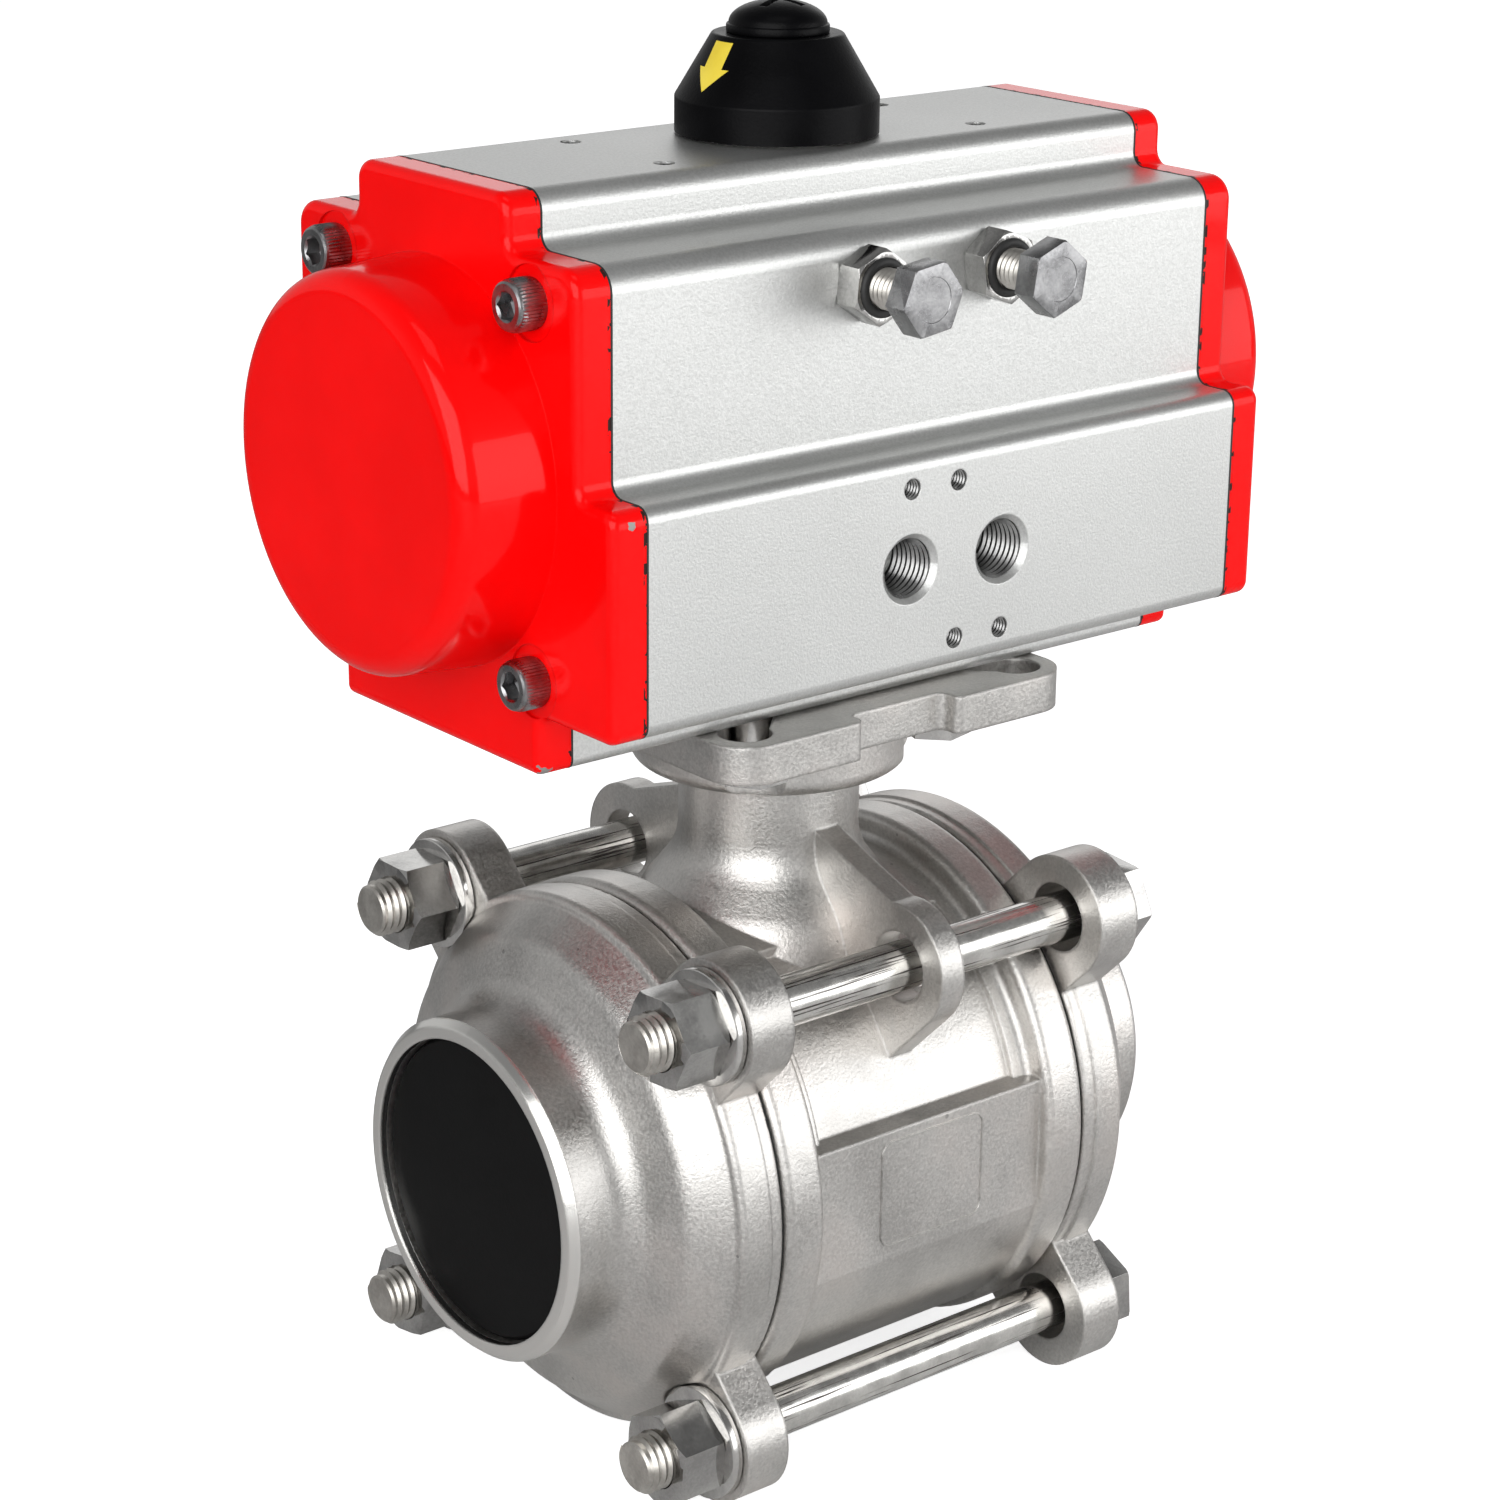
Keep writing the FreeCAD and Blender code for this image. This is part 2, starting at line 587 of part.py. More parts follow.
def piston(side):
    """The left piston as drawn; the right one is the same piece turned half round the stem."""
    halfTurn = FreeCAD.Rotation(FreeCAD.Vector(0, 0, 1), 180 if side == "right" else 0)
    outer = "pistonInner+pistonThick"
    headRadius = "cylinderRadius-pistonGap"
    ringInner = "cylinderRadius-ringGap-2*pistonCord"
    grooveFloor = f"{ringInner}-fitGap"
    sealMiddle = "-pistonInner-2.6-pistonCord"
    guideEnd = f"-({outer})+1.6"
    sealStart = f"{sealMiddle}+pistonCord+fitGap"
    sealEnd = f"{sealMiddle}-pistonCord-fitGap"
    head = turned("X", [
        ("-pistonInner", "0"),
        ("-pistonInner", headRadius),
        (sealStart, headRadius),
        (sealStart, grooveFloor),
        (sealEnd, grooveFloor),
        (sealEnd, headRadius),
        (f"{guideEnd}+guideWidth+fitGap", headRadius),
        (f"{guideEnd}+guideWidth+fitGap", grooveFloor),
        (f"{guideEnd}-fitGap", grooveFloor),
        (f"{guideEnd}-fitGap", headRadius),
        (f"-({outer})", headRadius),
        (f"-({outer})", "0"),
    ], z="cylinderHeight")
    arm = extruded("XY_Plane", rackCorners(), "2*armHalf", z="cylinderHeight-armHalf")
    seats = [cylinder("X", f"-({outer})-1", y, z, "springRadius+looseGap", "springSeat+1") for y, z in springPlaces()]
    whole = cut(fuse(head, arm), *seats)
    whole.Placement = FreeCAD.Placement(FreeCAD.Vector(), halfTurn)
    node(side + "_piston", whole)
    sealRadius = "cylinderRadius-ringGap-pistonCord"
    sign = "-" if side == "right" else ""
    node(side + "_piston_seal", hoop("X", f"{sign}({sealMiddle})", 0, "cylinderHeight", sealRadius, "pistonCord"))
    guideStart = f"-({guideEnd}+guideWidth)" if side == "right" else guideEnd
    node(side + "_piston_guide", ringAbout("X", guideStart, 0, "cylinderHeight", ringInner, "cylinderRadius-ringGap",
                                           "guideWidth"))


def springs():
    start = "pistonInner+pistonThick-springSeat"
    coils = []
    for y, z in springPlaces():
        inner = "springRadius-2*springWire"
        coils.append(ringAbout("X", f"{start}", y, z, inner, "springRadius", f"drumFace-drumWall-({start})"))
    bothEnds("springs", gather(coils))


# ---------------------------------------------------------------- pinion shaft and stop cam
def toothCorners():
    """One involute tooth pointing along +Y, from inside the core to the tip."""
    pitchRadius = value("gearModule*gearTeeth/2")
    baseRadius = pitchRadius * math.cos(math.radians(value("gearAngle")))
    halfPitch = math.pi / (2 * value("gearTeeth")) - value("gearThin") / pitchRadius
    flank = math.tan(math.radians(value("gearAngle"))) - math.radians(value("gearAngle"))
    tipRadius = pitchRadius + value("gearAddendum")
    right = []
    for step in range(5):
        radius = baseRadius + (tipRadius - baseRadius) * step / 4
        angle = math.acos(baseRadius / radius)
        half = halfPitch + flank - (math.tan(angle) - angle)
        right.append((radius * math.sin(half), radius * math.cos(half)))
    rootRadius = pitchRadius - value("gearDedendum") - 1
    right.insert(0, (right[0][0], rootRadius))
    return right + [(-across, up) for across, up in reversed(right)]


def pinion():
    gearBottom = "cylinderHeight-gearHalf"
    coreBottom = "cylinderHeight-armHalf-gearRelief"
    coreTop = "cylinderHeight+armHalf+gearRelief"
    core = "gearModule*gearTeeth/2-gearDedendum"
    clipFloor = "upperJournal-clipDepth"
    clipStart = "housingTop+faceGap+thrustThick+faceGap"
    body = turned("Z", [
        ("0", "pinionBottom"),
        ("lowerJournal", "pinionBottom"),
        ("lowerJournal", coreBottom),
        (core, coreBottom),
        (core, coreTop),
        ("upperJournal", coreTop),
        ("upperJournal", clipStart),
        (clipFloor, clipStart),
        (clipFloor, f"{clipStart}+clipThick+faceGap"),
        ("upperJournal", f"{clipStart}+clipThick+faceGap"),
        ("upperJournal", "pinionShoulder"),
        ("pinionTip", "pinionShoulder"),
        ("pinionTip", "crownTop-indicatorWall-faceGap"),
        ("0", "crownTop-indicatorWall-faceGap"),
    ])
    doc.recompute()
    sketch = profile(body, "XY_Plane", toothCorners())
    bind(sketch, **{"AttachmentOffset.Base.z": gearBottom})
    tooth = body.newObject("PartDesign::Pad", "tooth")
    tooth.Profile = sketch
    bind(tooth, Length="2*gearHalf")
    around = body.newObject("PartDesign::PolarPattern", "around")
    around.Originals = [tooth]
    around.Axis = (sketch, ["N_Axis"])
    around.Angle = 360
    bind(around, Occurrences="gearTeeth")
    body.Tip = around
    drive = []
    across = "squareSize+2*fitGap"
    for degrees in (0, 45):
        corners = [(f"-({across})/2", f"-({across})/2"), (f"({across})/2", f"-({across})/2"),
                   (f"({across})/2", f"({across})/2"), (f"-({across})/2", f"({across})/2")]
        drive.append(extruded("XY_Plane", corners, "driveDepth+1", z="pinionBottom-1",
                              turn=FreeCAD.Rotation(FreeCAD.Vector(0, 0, 1), degrees)))
    screwHole = cylinder("Z", 0, 0, "crownTop-indicatorWall-knobLength", "knobShank+fitGap", "knobLength+1")
    node("pinion_shaft", cut(body, *drive, screwHole))
    cam = ringAbout("Z", 0, 0, "camBottom", "upperJournal+fitGap", "camRadius", "camThick")
    wide = "2*camRadius"
    left = box("-camFlat-camRadius", "-camRadius", "camBottom-1", "camRadius", wide, "camThick+2")
    front = box("-camRadius", "-camFlat-camRadius", "camBottom-1", wide, "camRadius", "camThick+2")
    # the corner between the flats clears both stop bolts on its way round
    edge = "stopX-stopRadius-looseGap-1"
    bevel = extruded("XY_Plane", [(f"-({edge})", "-camFlat-1"), ("-camFlat-1", "-camFlat-1"),
                                  ("-camFlat-1", f"-({edge})")], "camThick+2", z="camBottom-1")
    node("stop_cam", cut(cam, left, front, bevel))
    lowerOuter = "lowerJournal+bearingWall"
    node("lower_bearing", ringAbout("Z", 0, 0, "lowerBearingBottom", "lowerJournal+runGap", lowerOuter,
                                    "lowerBearingHeight"))
    sealHeight = "lowerBearingBottom+lowerBearingHeight+faceGap+shaftCord"
    node("lower_shaft_seal", hoop("Z", 0, 0, sealHeight, "lowerJournal+runGap+shaftCord", "shaftCord"))
    upperOuter = "upperJournal+bearingWall"
    node("upper_bearing", ringAbout("Z", 0, 0, "upperBearingBottom", "upperJournal+runGap", upperOuter,
                                    "upperBearingHeight"))
    node("upper_shaft_seal", hoop("Z", 0, 0, "upperSealHeight", "upperJournal+runGap+shaftCord", "shaftCord"))
    node("thrust_washer", ringAbout("Z", 0, 0, "housingTop+faceGap", "upperJournal+fitGap", "thrustRadius",
                                    "thrustThick"))
    clip = ringAbout("Z", 0, 0, clipStart, f"{clipFloor}+runGap", "clipRadius", "clipThick")
    node("snap_ring", cut(clip, box("-3", "0", f"{clipStart}-1", "6", "20", "clipThick+2")))


# ---------------------------------------------------------------- indicator
def indicator():
    bottom = "housingTop+faceGap*5"
    innerSkirt = "skirtRadius-indicatorWall"
    cup = turned("Z", [
        (innerSkirt, bottom),
        ("skirtRadius", bottom),
        ("skirtRadius", "skirtTop", "faceGap*8"),
        ("crownRadius", "crownTop", "faceGap*8"),
        ("knobShank+looseGap", "crownTop"),
        ("knobShank+looseGap", "crownTop-indicatorWall"),
        ("crownRadius-indicatorWall*0.8", "crownTop-indicatorWall"),
        (innerSkirt, "skirtTop-1"),
    ])
    skin = turned("Z", [
        ("skirtRadius-arrowDepth", "skirtTop+1"),
        ("skirtRadius+2", "skirtTop+1"),
        ("crownRadius+2", "crownTop"),
        ("crownRadius-arrowDepth", "crownTop"),
    ])
    outside = turned("Z", [("0", "skirtTop"), ("skirtRadius", "skirtTop"), ("crownRadius", "crownTop"),
                           ("0", "crownTop")])
    # a down-pointing arrow let into the flank that faces along the pipe
    arrowShape = [("0", "arrowTip"), ("arrowHead", "arrowNeck"), ("arrowTail", "arrowNeck"), ("arrowTail", "arrowEnd"),
                  ("-arrowTail", "arrowEnd"), ("-arrowTail", "arrowNeck"), ("-arrowHead", "arrowNeck")]
    facing = FreeCAD.Rotation(FreeCAD.Vector(0, 0, 1), -90)
    stamp = extruded("XZ_Plane", arrowShape, "skirtRadius+2", turn=facing)
    pocket = common(stamp, skin)
    node("indicator_cone", cut(cup, pocket))
    node("indicator_arrow", common(common(stamp, skin), outside))
    dome = "knobHeight"
    knob = turned("Z", [
        ("0", "crownTop"),
        ("knobRadius", "crownTop"),
        ("knobRadius", f"crownTop+{dome}*0.45"),
        ("knobRadius*0.8", f"crownTop+{dome}*0.8"),
        ("knobRadius*0.4", f"crownTop+{dome}*0.97"),
        ("0", f"crownTop+{dome}"),
    ])
    shank = cylinder("Z", 0, 0, "crownTop-knobLength", "knobShank", "knobLength+1")
    slots = [box("-0.9", "-knobRadius*0.55", f"crownTop+{dome}*0.6", "1.8", "knobRadius*1.1", dome),
             box("-knobRadius*0.55", "-0.9", f"crownTop+{dome}*0.6", "knobRadius*1.1", "1.8", dome)]
    node("indicator_screw", cut(fuse(knob, shank), *slots))


# ---------------------------------------------------------------- stop bolts
def stopBolts():
    bolts = []
    nuts = []
    seals = []
    seatFace = "-sideHalf"
    headFace = f"{seatFace}-stopExposed"
    tip = "-camFlat-stopGap"
    for side, degrees in (("-", 8), ("", 21)):
        x = f"{side}stopX"
        shank = cylinder("Y", x, headFace, "stopHeight", "stopRadius", f"{tip}-({headFace})")
        head = hexagon("Y", x, f"{headFace}-stopHead", "stopHeight", "stopFlats", "stopHead", degrees)
        bolts.append(fuse(shank, head))
        nut = hexagon("Y", x, f"{seatFace}-stopNut", "stopHeight", "stopFlats", "stopNut", degrees + 17)
        hole = cylinder("Y", x, f"{seatFace}-stopNut-1", "stopHeight", "stopRadius+fitGap", "stopNut+2")
        nuts.append(cut(nut, hole))
        seals.append(ringAbout("Y", x, f"{seatFace}-stopNut-stopSeal", "stopHeight", "stopRadius+fitGap",
                               "stopRadius*1.45", "stopSeal"))
    node("stop_bolts", gather(bolts))
    node("stop_nuts", gather(nuts))
    node("stop_seals", gather(seals))


# ---------------------------------------------------------------- valve body
def lugCorners():
    reach = "boltOffset*sqrt(2)+lugRadius"
    return [("-lugRadius", "barrelRadius-8"), ("lugRadius", "barrelRadius-8"), ("lugRadius", reach, "lugRadius-fitGap"),
            ("-lugRadius", reach, "lugRadius-fitGap")]


def quarterTurn(degrees):
    return FreeCAD.Rotation(FreeCAD.Vector(1, 0, 0), degrees)


def boltPlaces():
    return [(f"{across}boltOffset", f"{up}boltOffset") for across in ("-", "") for up in ("", "-")]


def valveBody():
    barrel = turned("X", [
        ("-bodyHalf", "0"),
        ("-bodyHalf", "flangeRadius", "roundFoot"),
        ("-flangeInner", "flangeRadius", "roundFoot"),
        ("-flangeInner", "barrelRadius", "roundFoot"),
        ("flangeInner", "barrelRadius", "roundFoot"),
        ("flangeInner", "flangeRadius", "roundFoot"),
        ("bodyHalf", "flangeRadius", "roundFoot"),
        ("bodyHalf", "0"),
    ])
    panels = []
    for across in ("-(barrelRadius+1)", "panelStart"):
        sleeve = ringAbout("X", "-panelHalf", 0, 0, "barrelRadius-panelDeep", "barrelRadius+3", "2*panelHalf")
        panels.append(common(sleeve, box("-panelHalf-1", across, "-1", "2*panelHalf+2", "barrelRadius+1-panelStart",
                                         "barrelRadius+2")))
    bellyRod = cylinder("X", "-flangeInner-1", 0, 0, "bellyRadius", "2*flangeInner+2")
    belly = common(bellyRod, box("-flangeInner-1", "-padFace", "-bellyRadius-1", "2*flangeInner+2", "2*padFace",
                                 "bellyRadius+1+bellyTop"))
    neck = turned("Z", [
        ("0", "barrelRadius-22"),
        ("neckFoot+9", "barrelRadius-22"),
        ("neckFoot", "neckFootTop", "neckFoot/2"),
        ("neckRadius", "neckFootTop+10", "neckFoot/2"),
        ("neckRadius", "bossBottom", "hollowRound"),
        ("bossRadius", "bossBottom", "hollowRound"),
        ("bossRadius", "padBottom+1"),
        ("0", "padBottom+1"),
    ])
    padCorners = [
        ("-padHalf", "-padHalf", "padCorner"),
        ("-notchHalf", "-padHalf", "roundFoot"),
        ("-notchHalf", "-padHalf+notchDepth", "roundFoot"),
        ("notchHalf", "-padHalf+notchDepth", "roundFoot"),
        ("notchHalf", "-padHalf", "roundFoot"),
        ("padHalf", "-padHalf", "padCorner"),
        ("padHalf", "padHalf", "padCorner"),
        ("-padHalf", "padHalf", "padCorner"),
    ]
    pad = extruded("XY_Plane", padCorners, "padTop-padBottom", z="padBottom")
    lugs = [extruded("YZ_Plane", lugCorners(), "lugWeb", x="-lugWeb/2", turn=quarterTurn(turn)) for turn in (-45, 45)]
    webs = []
    for turn in (-1, 1):
        side = "-" if turn < 0 else ""
        webCorners = [(f"{side}(neckRadius-6)", "barrelRadius-10"), (f"{side}(neckRadius-1)", "neckFootTop+18"),
                      (f"{side}boltOffset", "boltOffset+lugRadius-1"), (f"{side}boltOffset", "boltOffset-10")]
        webs.append(extruded("YZ_Plane", webCorners, "lugWeb", x="-lugWeb/2"))
    holes = [cylinder("X", "-bodyHalf-1", 0, 0, "cavityRadius", "2*bodyHalf+2")]
    holes.append(cylinder("Z", 0, 0, "stemCollarBottom-8", "stemCollar+looseGap", "stemWasherTop-stemCollarBottom+8"))
    holes.append(cylinder("Z", 0, 0, "stemWasherTop-1", "stemRadius+runGap", "packingBottom-stemWasherTop+2"))
    holes.append(cylinder("Z", 0, 0, "packingBottom", "packingRadius", "recessFloor-packingBottom+1"))
    holes.append(cylinder("Z", 0, 0, "recessFloor", "recessRadius", "padTop-recessFloor+1"))
    for y, z in boltPlaces():
        holes.append(cylinder("X", "-lugWeb", y, z, "lugHole", "2*lugWeb"))
    for across in ("-", ""):
        for along in ("-", ""):
            holes.append(cylinder("Z", f"{across}smallCircle", f"{along}smallCircle", "padBottom-1", "smallHole",
                                  "padTop-padBottom+2"))
            holes.append(cylinder("Z", f"{across}largeCircle", f"{along}largeCircle", "padBottom-1", "largeHole",
                                  "padTop-padBottom+2"))
            holes.append(cylinder("Z", f"{across}smallCircle", f"{along}smallCircle", "bossBottom-1", "spotRadius",
                                  "padBottom-bossBottom+1"))
    for degrees in (45, 135, 225, 315):
        slot = [("smallCircle*sqrt(2)", "-smallHole"), ("largeCircle*sqrt(2)", "-smallHole"),
                ("largeCircle*sqrt(2)", "smallHole"), ("smallCircle*sqrt(2)", "smallHole")]
        holes.append(extruded("XY_Plane", slot, "padTop-padBottom+2", z="padBottom-1",
                              turn=FreeCAD.Rotation(FreeCAD.Vector(0, 0, 1), degrees)))
    node("valve_body", cut(fuse(cut(barrel, *panels), belly, neck, pad, *lugs, *webs), *holes))


def endPiece():
    joint = "bodyHalf+gasketThick"
    weld = "faceToFace/2"
    collar = f"{joint}+collarDepth"
    blank = turned("X", [
        (joint, "0"),
        (joint, "collarRadius-lipDrop", "fitGap*8"),
        (f"{joint}+lipDepth", "collarRadius-lipDrop"),
        (f"{joint}+lipDepth", "collarRadius"),
        (collar, "collarRadius", "fitGap*15"),
        (f"{collar}+shoulderSet", "shoulderRadius"),
        ("ridgeReach", "ridgeRadius", "ridgeRound"),
        ("flareReach", "stubRadius", "flareRound"),
        (f"{weld}-bevelDepth", "stubRadius"),
        (weld, "landRadius"),
        (weld, "0"),
    ])
    lugs = []
    for turn in (45, 135, 225, 315):
        lugs.append(extruded("YZ_Plane", lugCorners(), "collarDepth", x=joint, turn=quarterTurn(turn)))
    holes = [cylinder("X", f"{joint}-1", 0, 0, "boreRadius", f"{weld}-({joint})+2")]
    for y, z in boltPlaces():
        holes.append(cylinder("X", f"{joint}-1", y, z, "lugHole", "collarDepth+2"))
        holes.append(cylinder("X", collar, y, z, "tieWasherRadius+looseGap", "tieWasher+tieNut"))
    bothEnds("end_piece", cut(fuse(blank, *lugs), *holes))
    bothEnds("gasket", ringAbout("X", "bodyHalf", 0, 0, "gasketInner", "gasketOuter", "gasketThick"))
    seatRing = ringAbout("X", "seatReach", 0, 0, "boreRadius", "seatOuter", f"{joint}-seatReach")
    room = doc.addObject("Part::Sphere", "room")
    bind(room, Radius="ballRadius+seatGap")
    bothEnds("seat", cut(seatRing, room))
    plugRadius = "boreRadius-plugGap"
    face = f"{weld}-plugInset"
    bothEnds("bore_plug", turned("X", [
        (f"{face}-plugDepth", f"{plugRadius}-plugWall"),
        (f"{face}-plugDepth", plugRadius),
        (f"{face}-plugEdge", plugRadius),
        (face, f"{plugRadius}-plugEdge"),
        (face, "0"),
        (f"{face}-plugWall", "0"),
        (f"{face}-plugWall", f"{plugRadius}-plugWall"),
    ]))


def tieBolts():
    """Heads at the right end, washers and nuts at the left end."""
    lugFace = "bodyHalf+gasketThick+collarDepth"
    nutFace = f"-({lugFace})-fitGap-tieWasher"
    nutEnd = f"{nutFace}-tieNut"
    tip = f"{nutEnd}-tieOverrun"
    bolts = []
    nuts = []
    washers = []
    for (y, z), degrees in zip(boltPlaces(), (4, 25, 0, 10)):
        head = hexagon("X", f"{lugFace}+fitGap", y, z, "tieFlats", "tieHead", degrees)
        thread = cylinder("X", f"{tip}+1", y, z, "tieThread", "tieThreadLength-1")
        nose = cone("X", tip, y, z, "tieThread-1", "tieThread", 1)
        shank = cylinder("X", f"{tip}+tieThreadLength", y, z, "tieShank",
                         f"{lugFace}+fitGap-({tip}+tieThreadLength)")
        bolts.append(fuse(head, thread, nose, shank))
        nut = hexagon("X", nutEnd, y, z, "tieFlats", "tieNut", degrees)
        nuts.append(cut(nut, cylinder("X", f"{nutEnd}-1", y, z, "tieThread+fitGap", "tieNut+2")))
        washers.append(ringAbout("X", nutFace, y, z, "tieThread+fitGap*4", "tieWasherRadius", "tieWasher"))
    node("tie_bolts", gather(bolts))
    node("tie_bolt_nuts", gather(nuts))
    node("tie_bolt_washers", gather(washers))


def ballAndStem():
    sphere = doc.addObject("Part::Sphere", "sphere")
    bind(sphere, Radius="ballRadius")
    bore = cylinder("Y", 0, "-ballRadius-1", 0, "boreRadius", "2*ballRadius+2")
    slot = box("-ballRadius", "-tongueWidth/2-fitGap", "slotFloor", "2*ballRadius", "tongueWidth+2*fitGap",
               "ballRadius")
    node("ball", cut(sphere, bore, slot))
    tongueRod = cylinder("Z", 0, 0, "tongueBottom", "tongueRadius", "stemCollarBottom-tongueBottom+1")
    tongue = common(tongueRod, box("-tongueRadius", "-tongueWidth/2", "tongueBottom-1", "2*tongueRadius",
                                   "tongueWidth", "stemCollarBottom-tongueBottom+2"))
    collar = cylinder("Z", 0, 0, "stemCollarBottom", "stemCollar", "stemCollarTop-stemCollarBottom")
    shaft = cylinder("Z", 0, 0, "stemCollarTop-1", "stemRadius", "squareBottom-stemCollarTop+1")
    squareRod = cylinder("Z", 0, 0, "squareBottom-1", "stemRadius", "squareTop-squareBottom+1")
    square = common(squareRod, box("-squareSize/2", "-squareSize/2", "squareBottom-2", "squareSize", "squareSize",
                                   "squareTop-squareBottom+3"))
    node("stem", fuse(tongue, collar, shaft, square))
    node("stem_thrust_washer", ringAbout("Z", 0, 0, "stemCollarTop+faceGap/2", "stemRadius+runGap", "stemCollar",
                                         "stemWasherTop-stemCollarTop-faceGap"))
    rings = []
    tall = "(packingTop-packingBottom)/packingRings"
    for ring in range(int(value("packingRings"))):
        rings.append(ringAbout("Z", 0, 0, f"packingBottom+{ring}*{tall}", "stemRadius+runGap", "packingRadius-runGap",
                               tall))
    node("stem_packing", gather(rings))
    flangeTop = "recessFloor+faceGap+glandFlangeThick"
    sleeve = cylinder("Z", 0, 0, "packingTop+faceGap", "packingRadius-runGap", f"{flangeTop}-packingTop-faceGap")
    flange = cylinder("Z", 0, 0, "recessFloor+faceGap", "glandFlange", "glandFlangeThick")
    bore = cylinder("Z", 0, 0, "packingTop-1", "stemRadius+runGap", f"{flangeTop}-packingTop+2")
    node("gland_ring", cut(fuse(sleeve, flange), bore))
    cups = []
    springStart = f"{flangeTop}+faceGap"
    inner = "stemRadius+fitGap"
    lift = "springWasherThick/3"
    plate = "springWasherThick-springWasherThick/3"
    low = [(inner, "0"), ("springWasherRadius", lift), ("springWasherRadius", f"{lift}+{plate}"), (inner, plate)]
    high = [(inner, lift), ("springWasherRadius", "0"), ("springWasherRadius", plate), (inner, f"{lift}+{plate}")]
    cups.append(turned("Z", high, z=springStart))
    cups.append(turned("Z", low, z=f"{springStart}+springWasherThick"))
    node("belleville_washers", gather(cups))
    nutStart = f"{springStart}+2*springWasherThick+faceGap"
    nut = hexagon("Z", 0, 0, nutStart, "stemNutFlats", "stemNutHeight", 12)
    node("stem_nut", cut(nut, cylinder("Z", 0, 0, f"{nutStart}-1", "stemRadius+fitGap", "stemNutHeight+2")))
    node("nut_lock_washer", ringAbout("Z", 0, 0, f"{nutStart}+stemNutHeight+faceGap", "stemRadius+fitGap",
                                      "lockWasherRadius", "lockWasherThick"))


def mountingScrews():
    screws = []
    washers = []
    seat = "padBottom-mountWasher"
    for x, y, degrees in (("-", "-", 3), ("-", "", 31), ("", "-", 14), ("", "", 48)):
        at = (f"{x}smallCircle", f"{y}smallCircle")
        head = hexagon("Z", *at, f"{seat}-mountHead", "mountFlats", "mountHead", degrees)
        shank = cylinder("Z", *at, seat, "mountShank", "mountLength-1")
        screws.append(fuse(head, shank))
        washers.append(ringAbout("Z", *at, seat, "mountShank+fitGap*2", "mountWasherRadius", "mountWasher"))
    node("mounting_screws", gather(screws))
    node("mounting_washers", gather(washers))


actuatorHousing()
endCap()
piston("left")
piston("right")
springs()
pinion()
indicator()
stopBolts()
valveBody()
endPiece()
tieBolts()
ballAndStem()
mountingScrews()
doc.recompute()

faults = [item.Label for item in doc.Objects if "Invalid" in item.State or "Error" in item.State]
if faults:
    raise SystemExit(f"objects in error: {faults}")
for item in nodes:
    if item.Shape.isNull() or not item.Shape.isValid() or not item.Shape.Solids:
        raise SystemExit(f"bad shape: {item.Label}")
for item in nodes:
    box3 = item.Shape.BoundBox
    print(f"{item.Label:22s} solids {len(item.Shape.Solids)} volume {item.Shape.Volume:10.1f} "
          f"x {box3.XMin:.1f} {box3.XMax:.1f} y {box3.YMin:.1f} {box3.YMax:.1f} z {box3.ZMin:.1f} {box3.ZMax:.1f}")
    item.Shape.exportStep(f"parts/{item.Label}.step")
print(len(nodes), "sub-parts written")
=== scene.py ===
import json
import math
import bpy
import bmesh
from mathutils import Matrix, Quaternion, Vector


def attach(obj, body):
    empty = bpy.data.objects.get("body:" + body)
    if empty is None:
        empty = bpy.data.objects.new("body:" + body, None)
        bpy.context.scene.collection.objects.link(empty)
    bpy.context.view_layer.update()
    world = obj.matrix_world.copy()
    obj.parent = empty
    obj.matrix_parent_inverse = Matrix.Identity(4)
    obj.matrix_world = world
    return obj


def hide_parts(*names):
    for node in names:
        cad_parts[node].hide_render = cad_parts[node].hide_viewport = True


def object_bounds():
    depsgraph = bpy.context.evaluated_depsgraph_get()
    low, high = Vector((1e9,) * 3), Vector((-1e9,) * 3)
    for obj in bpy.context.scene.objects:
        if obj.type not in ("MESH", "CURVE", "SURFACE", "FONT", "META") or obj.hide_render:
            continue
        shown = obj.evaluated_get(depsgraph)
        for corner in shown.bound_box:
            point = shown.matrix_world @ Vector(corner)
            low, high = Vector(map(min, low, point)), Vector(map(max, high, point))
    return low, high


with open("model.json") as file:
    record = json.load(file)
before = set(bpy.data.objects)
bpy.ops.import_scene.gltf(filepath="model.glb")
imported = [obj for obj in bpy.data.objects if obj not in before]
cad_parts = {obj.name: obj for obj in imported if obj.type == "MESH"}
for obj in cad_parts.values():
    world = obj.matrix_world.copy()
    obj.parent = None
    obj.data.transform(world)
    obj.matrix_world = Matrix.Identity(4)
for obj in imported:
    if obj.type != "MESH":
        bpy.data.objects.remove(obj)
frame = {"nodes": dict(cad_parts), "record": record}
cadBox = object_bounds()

mm = 0.001
nodes = frame["nodes"]
print("frame loaded:", len(nodes), "nodes")


# small helpers for shader and geometry trees

def addNode(tree, kind, **settings):
    item = tree.nodes.new(kind)
    for name, setting in settings.items():
        setattr(item, name, setting)
    return item


def link(tree, source, target):
    tree.links.new(source, target)


def feed(tree, source, socket):  # a link or a plain number, whichever is given
    if hasattr(source, "is_linked"):
        link(tree, source, socket)
    elif source is not None:
        socket.default_value = source


def mathNode(tree, operation, first, second=None, third=None):
    item = addNode(tree, "ShaderNodeMath", operation=operation)
    for slot, source in enumerate((first, second, third)):
        feed(tree, source, item.inputs[slot])
    return item.outputs[0]


def ramp(tree, source, stops):
    item = addNode(tree, "ShaderNodeValToRGB")
    elements = item.color_ramp.elements
    elements[0].position, elements[0].color = stops[0]
    elements[1].position, elements[1].color = stops[-1]
    for position, color in stops[1:-1]:
        extra = elements.new(position)
        extra.color = color
    link(tree, source, item.inputs["Fac"])
    return item.outputs["Color"]


def grey(level):
    return (level, level, level, 1)


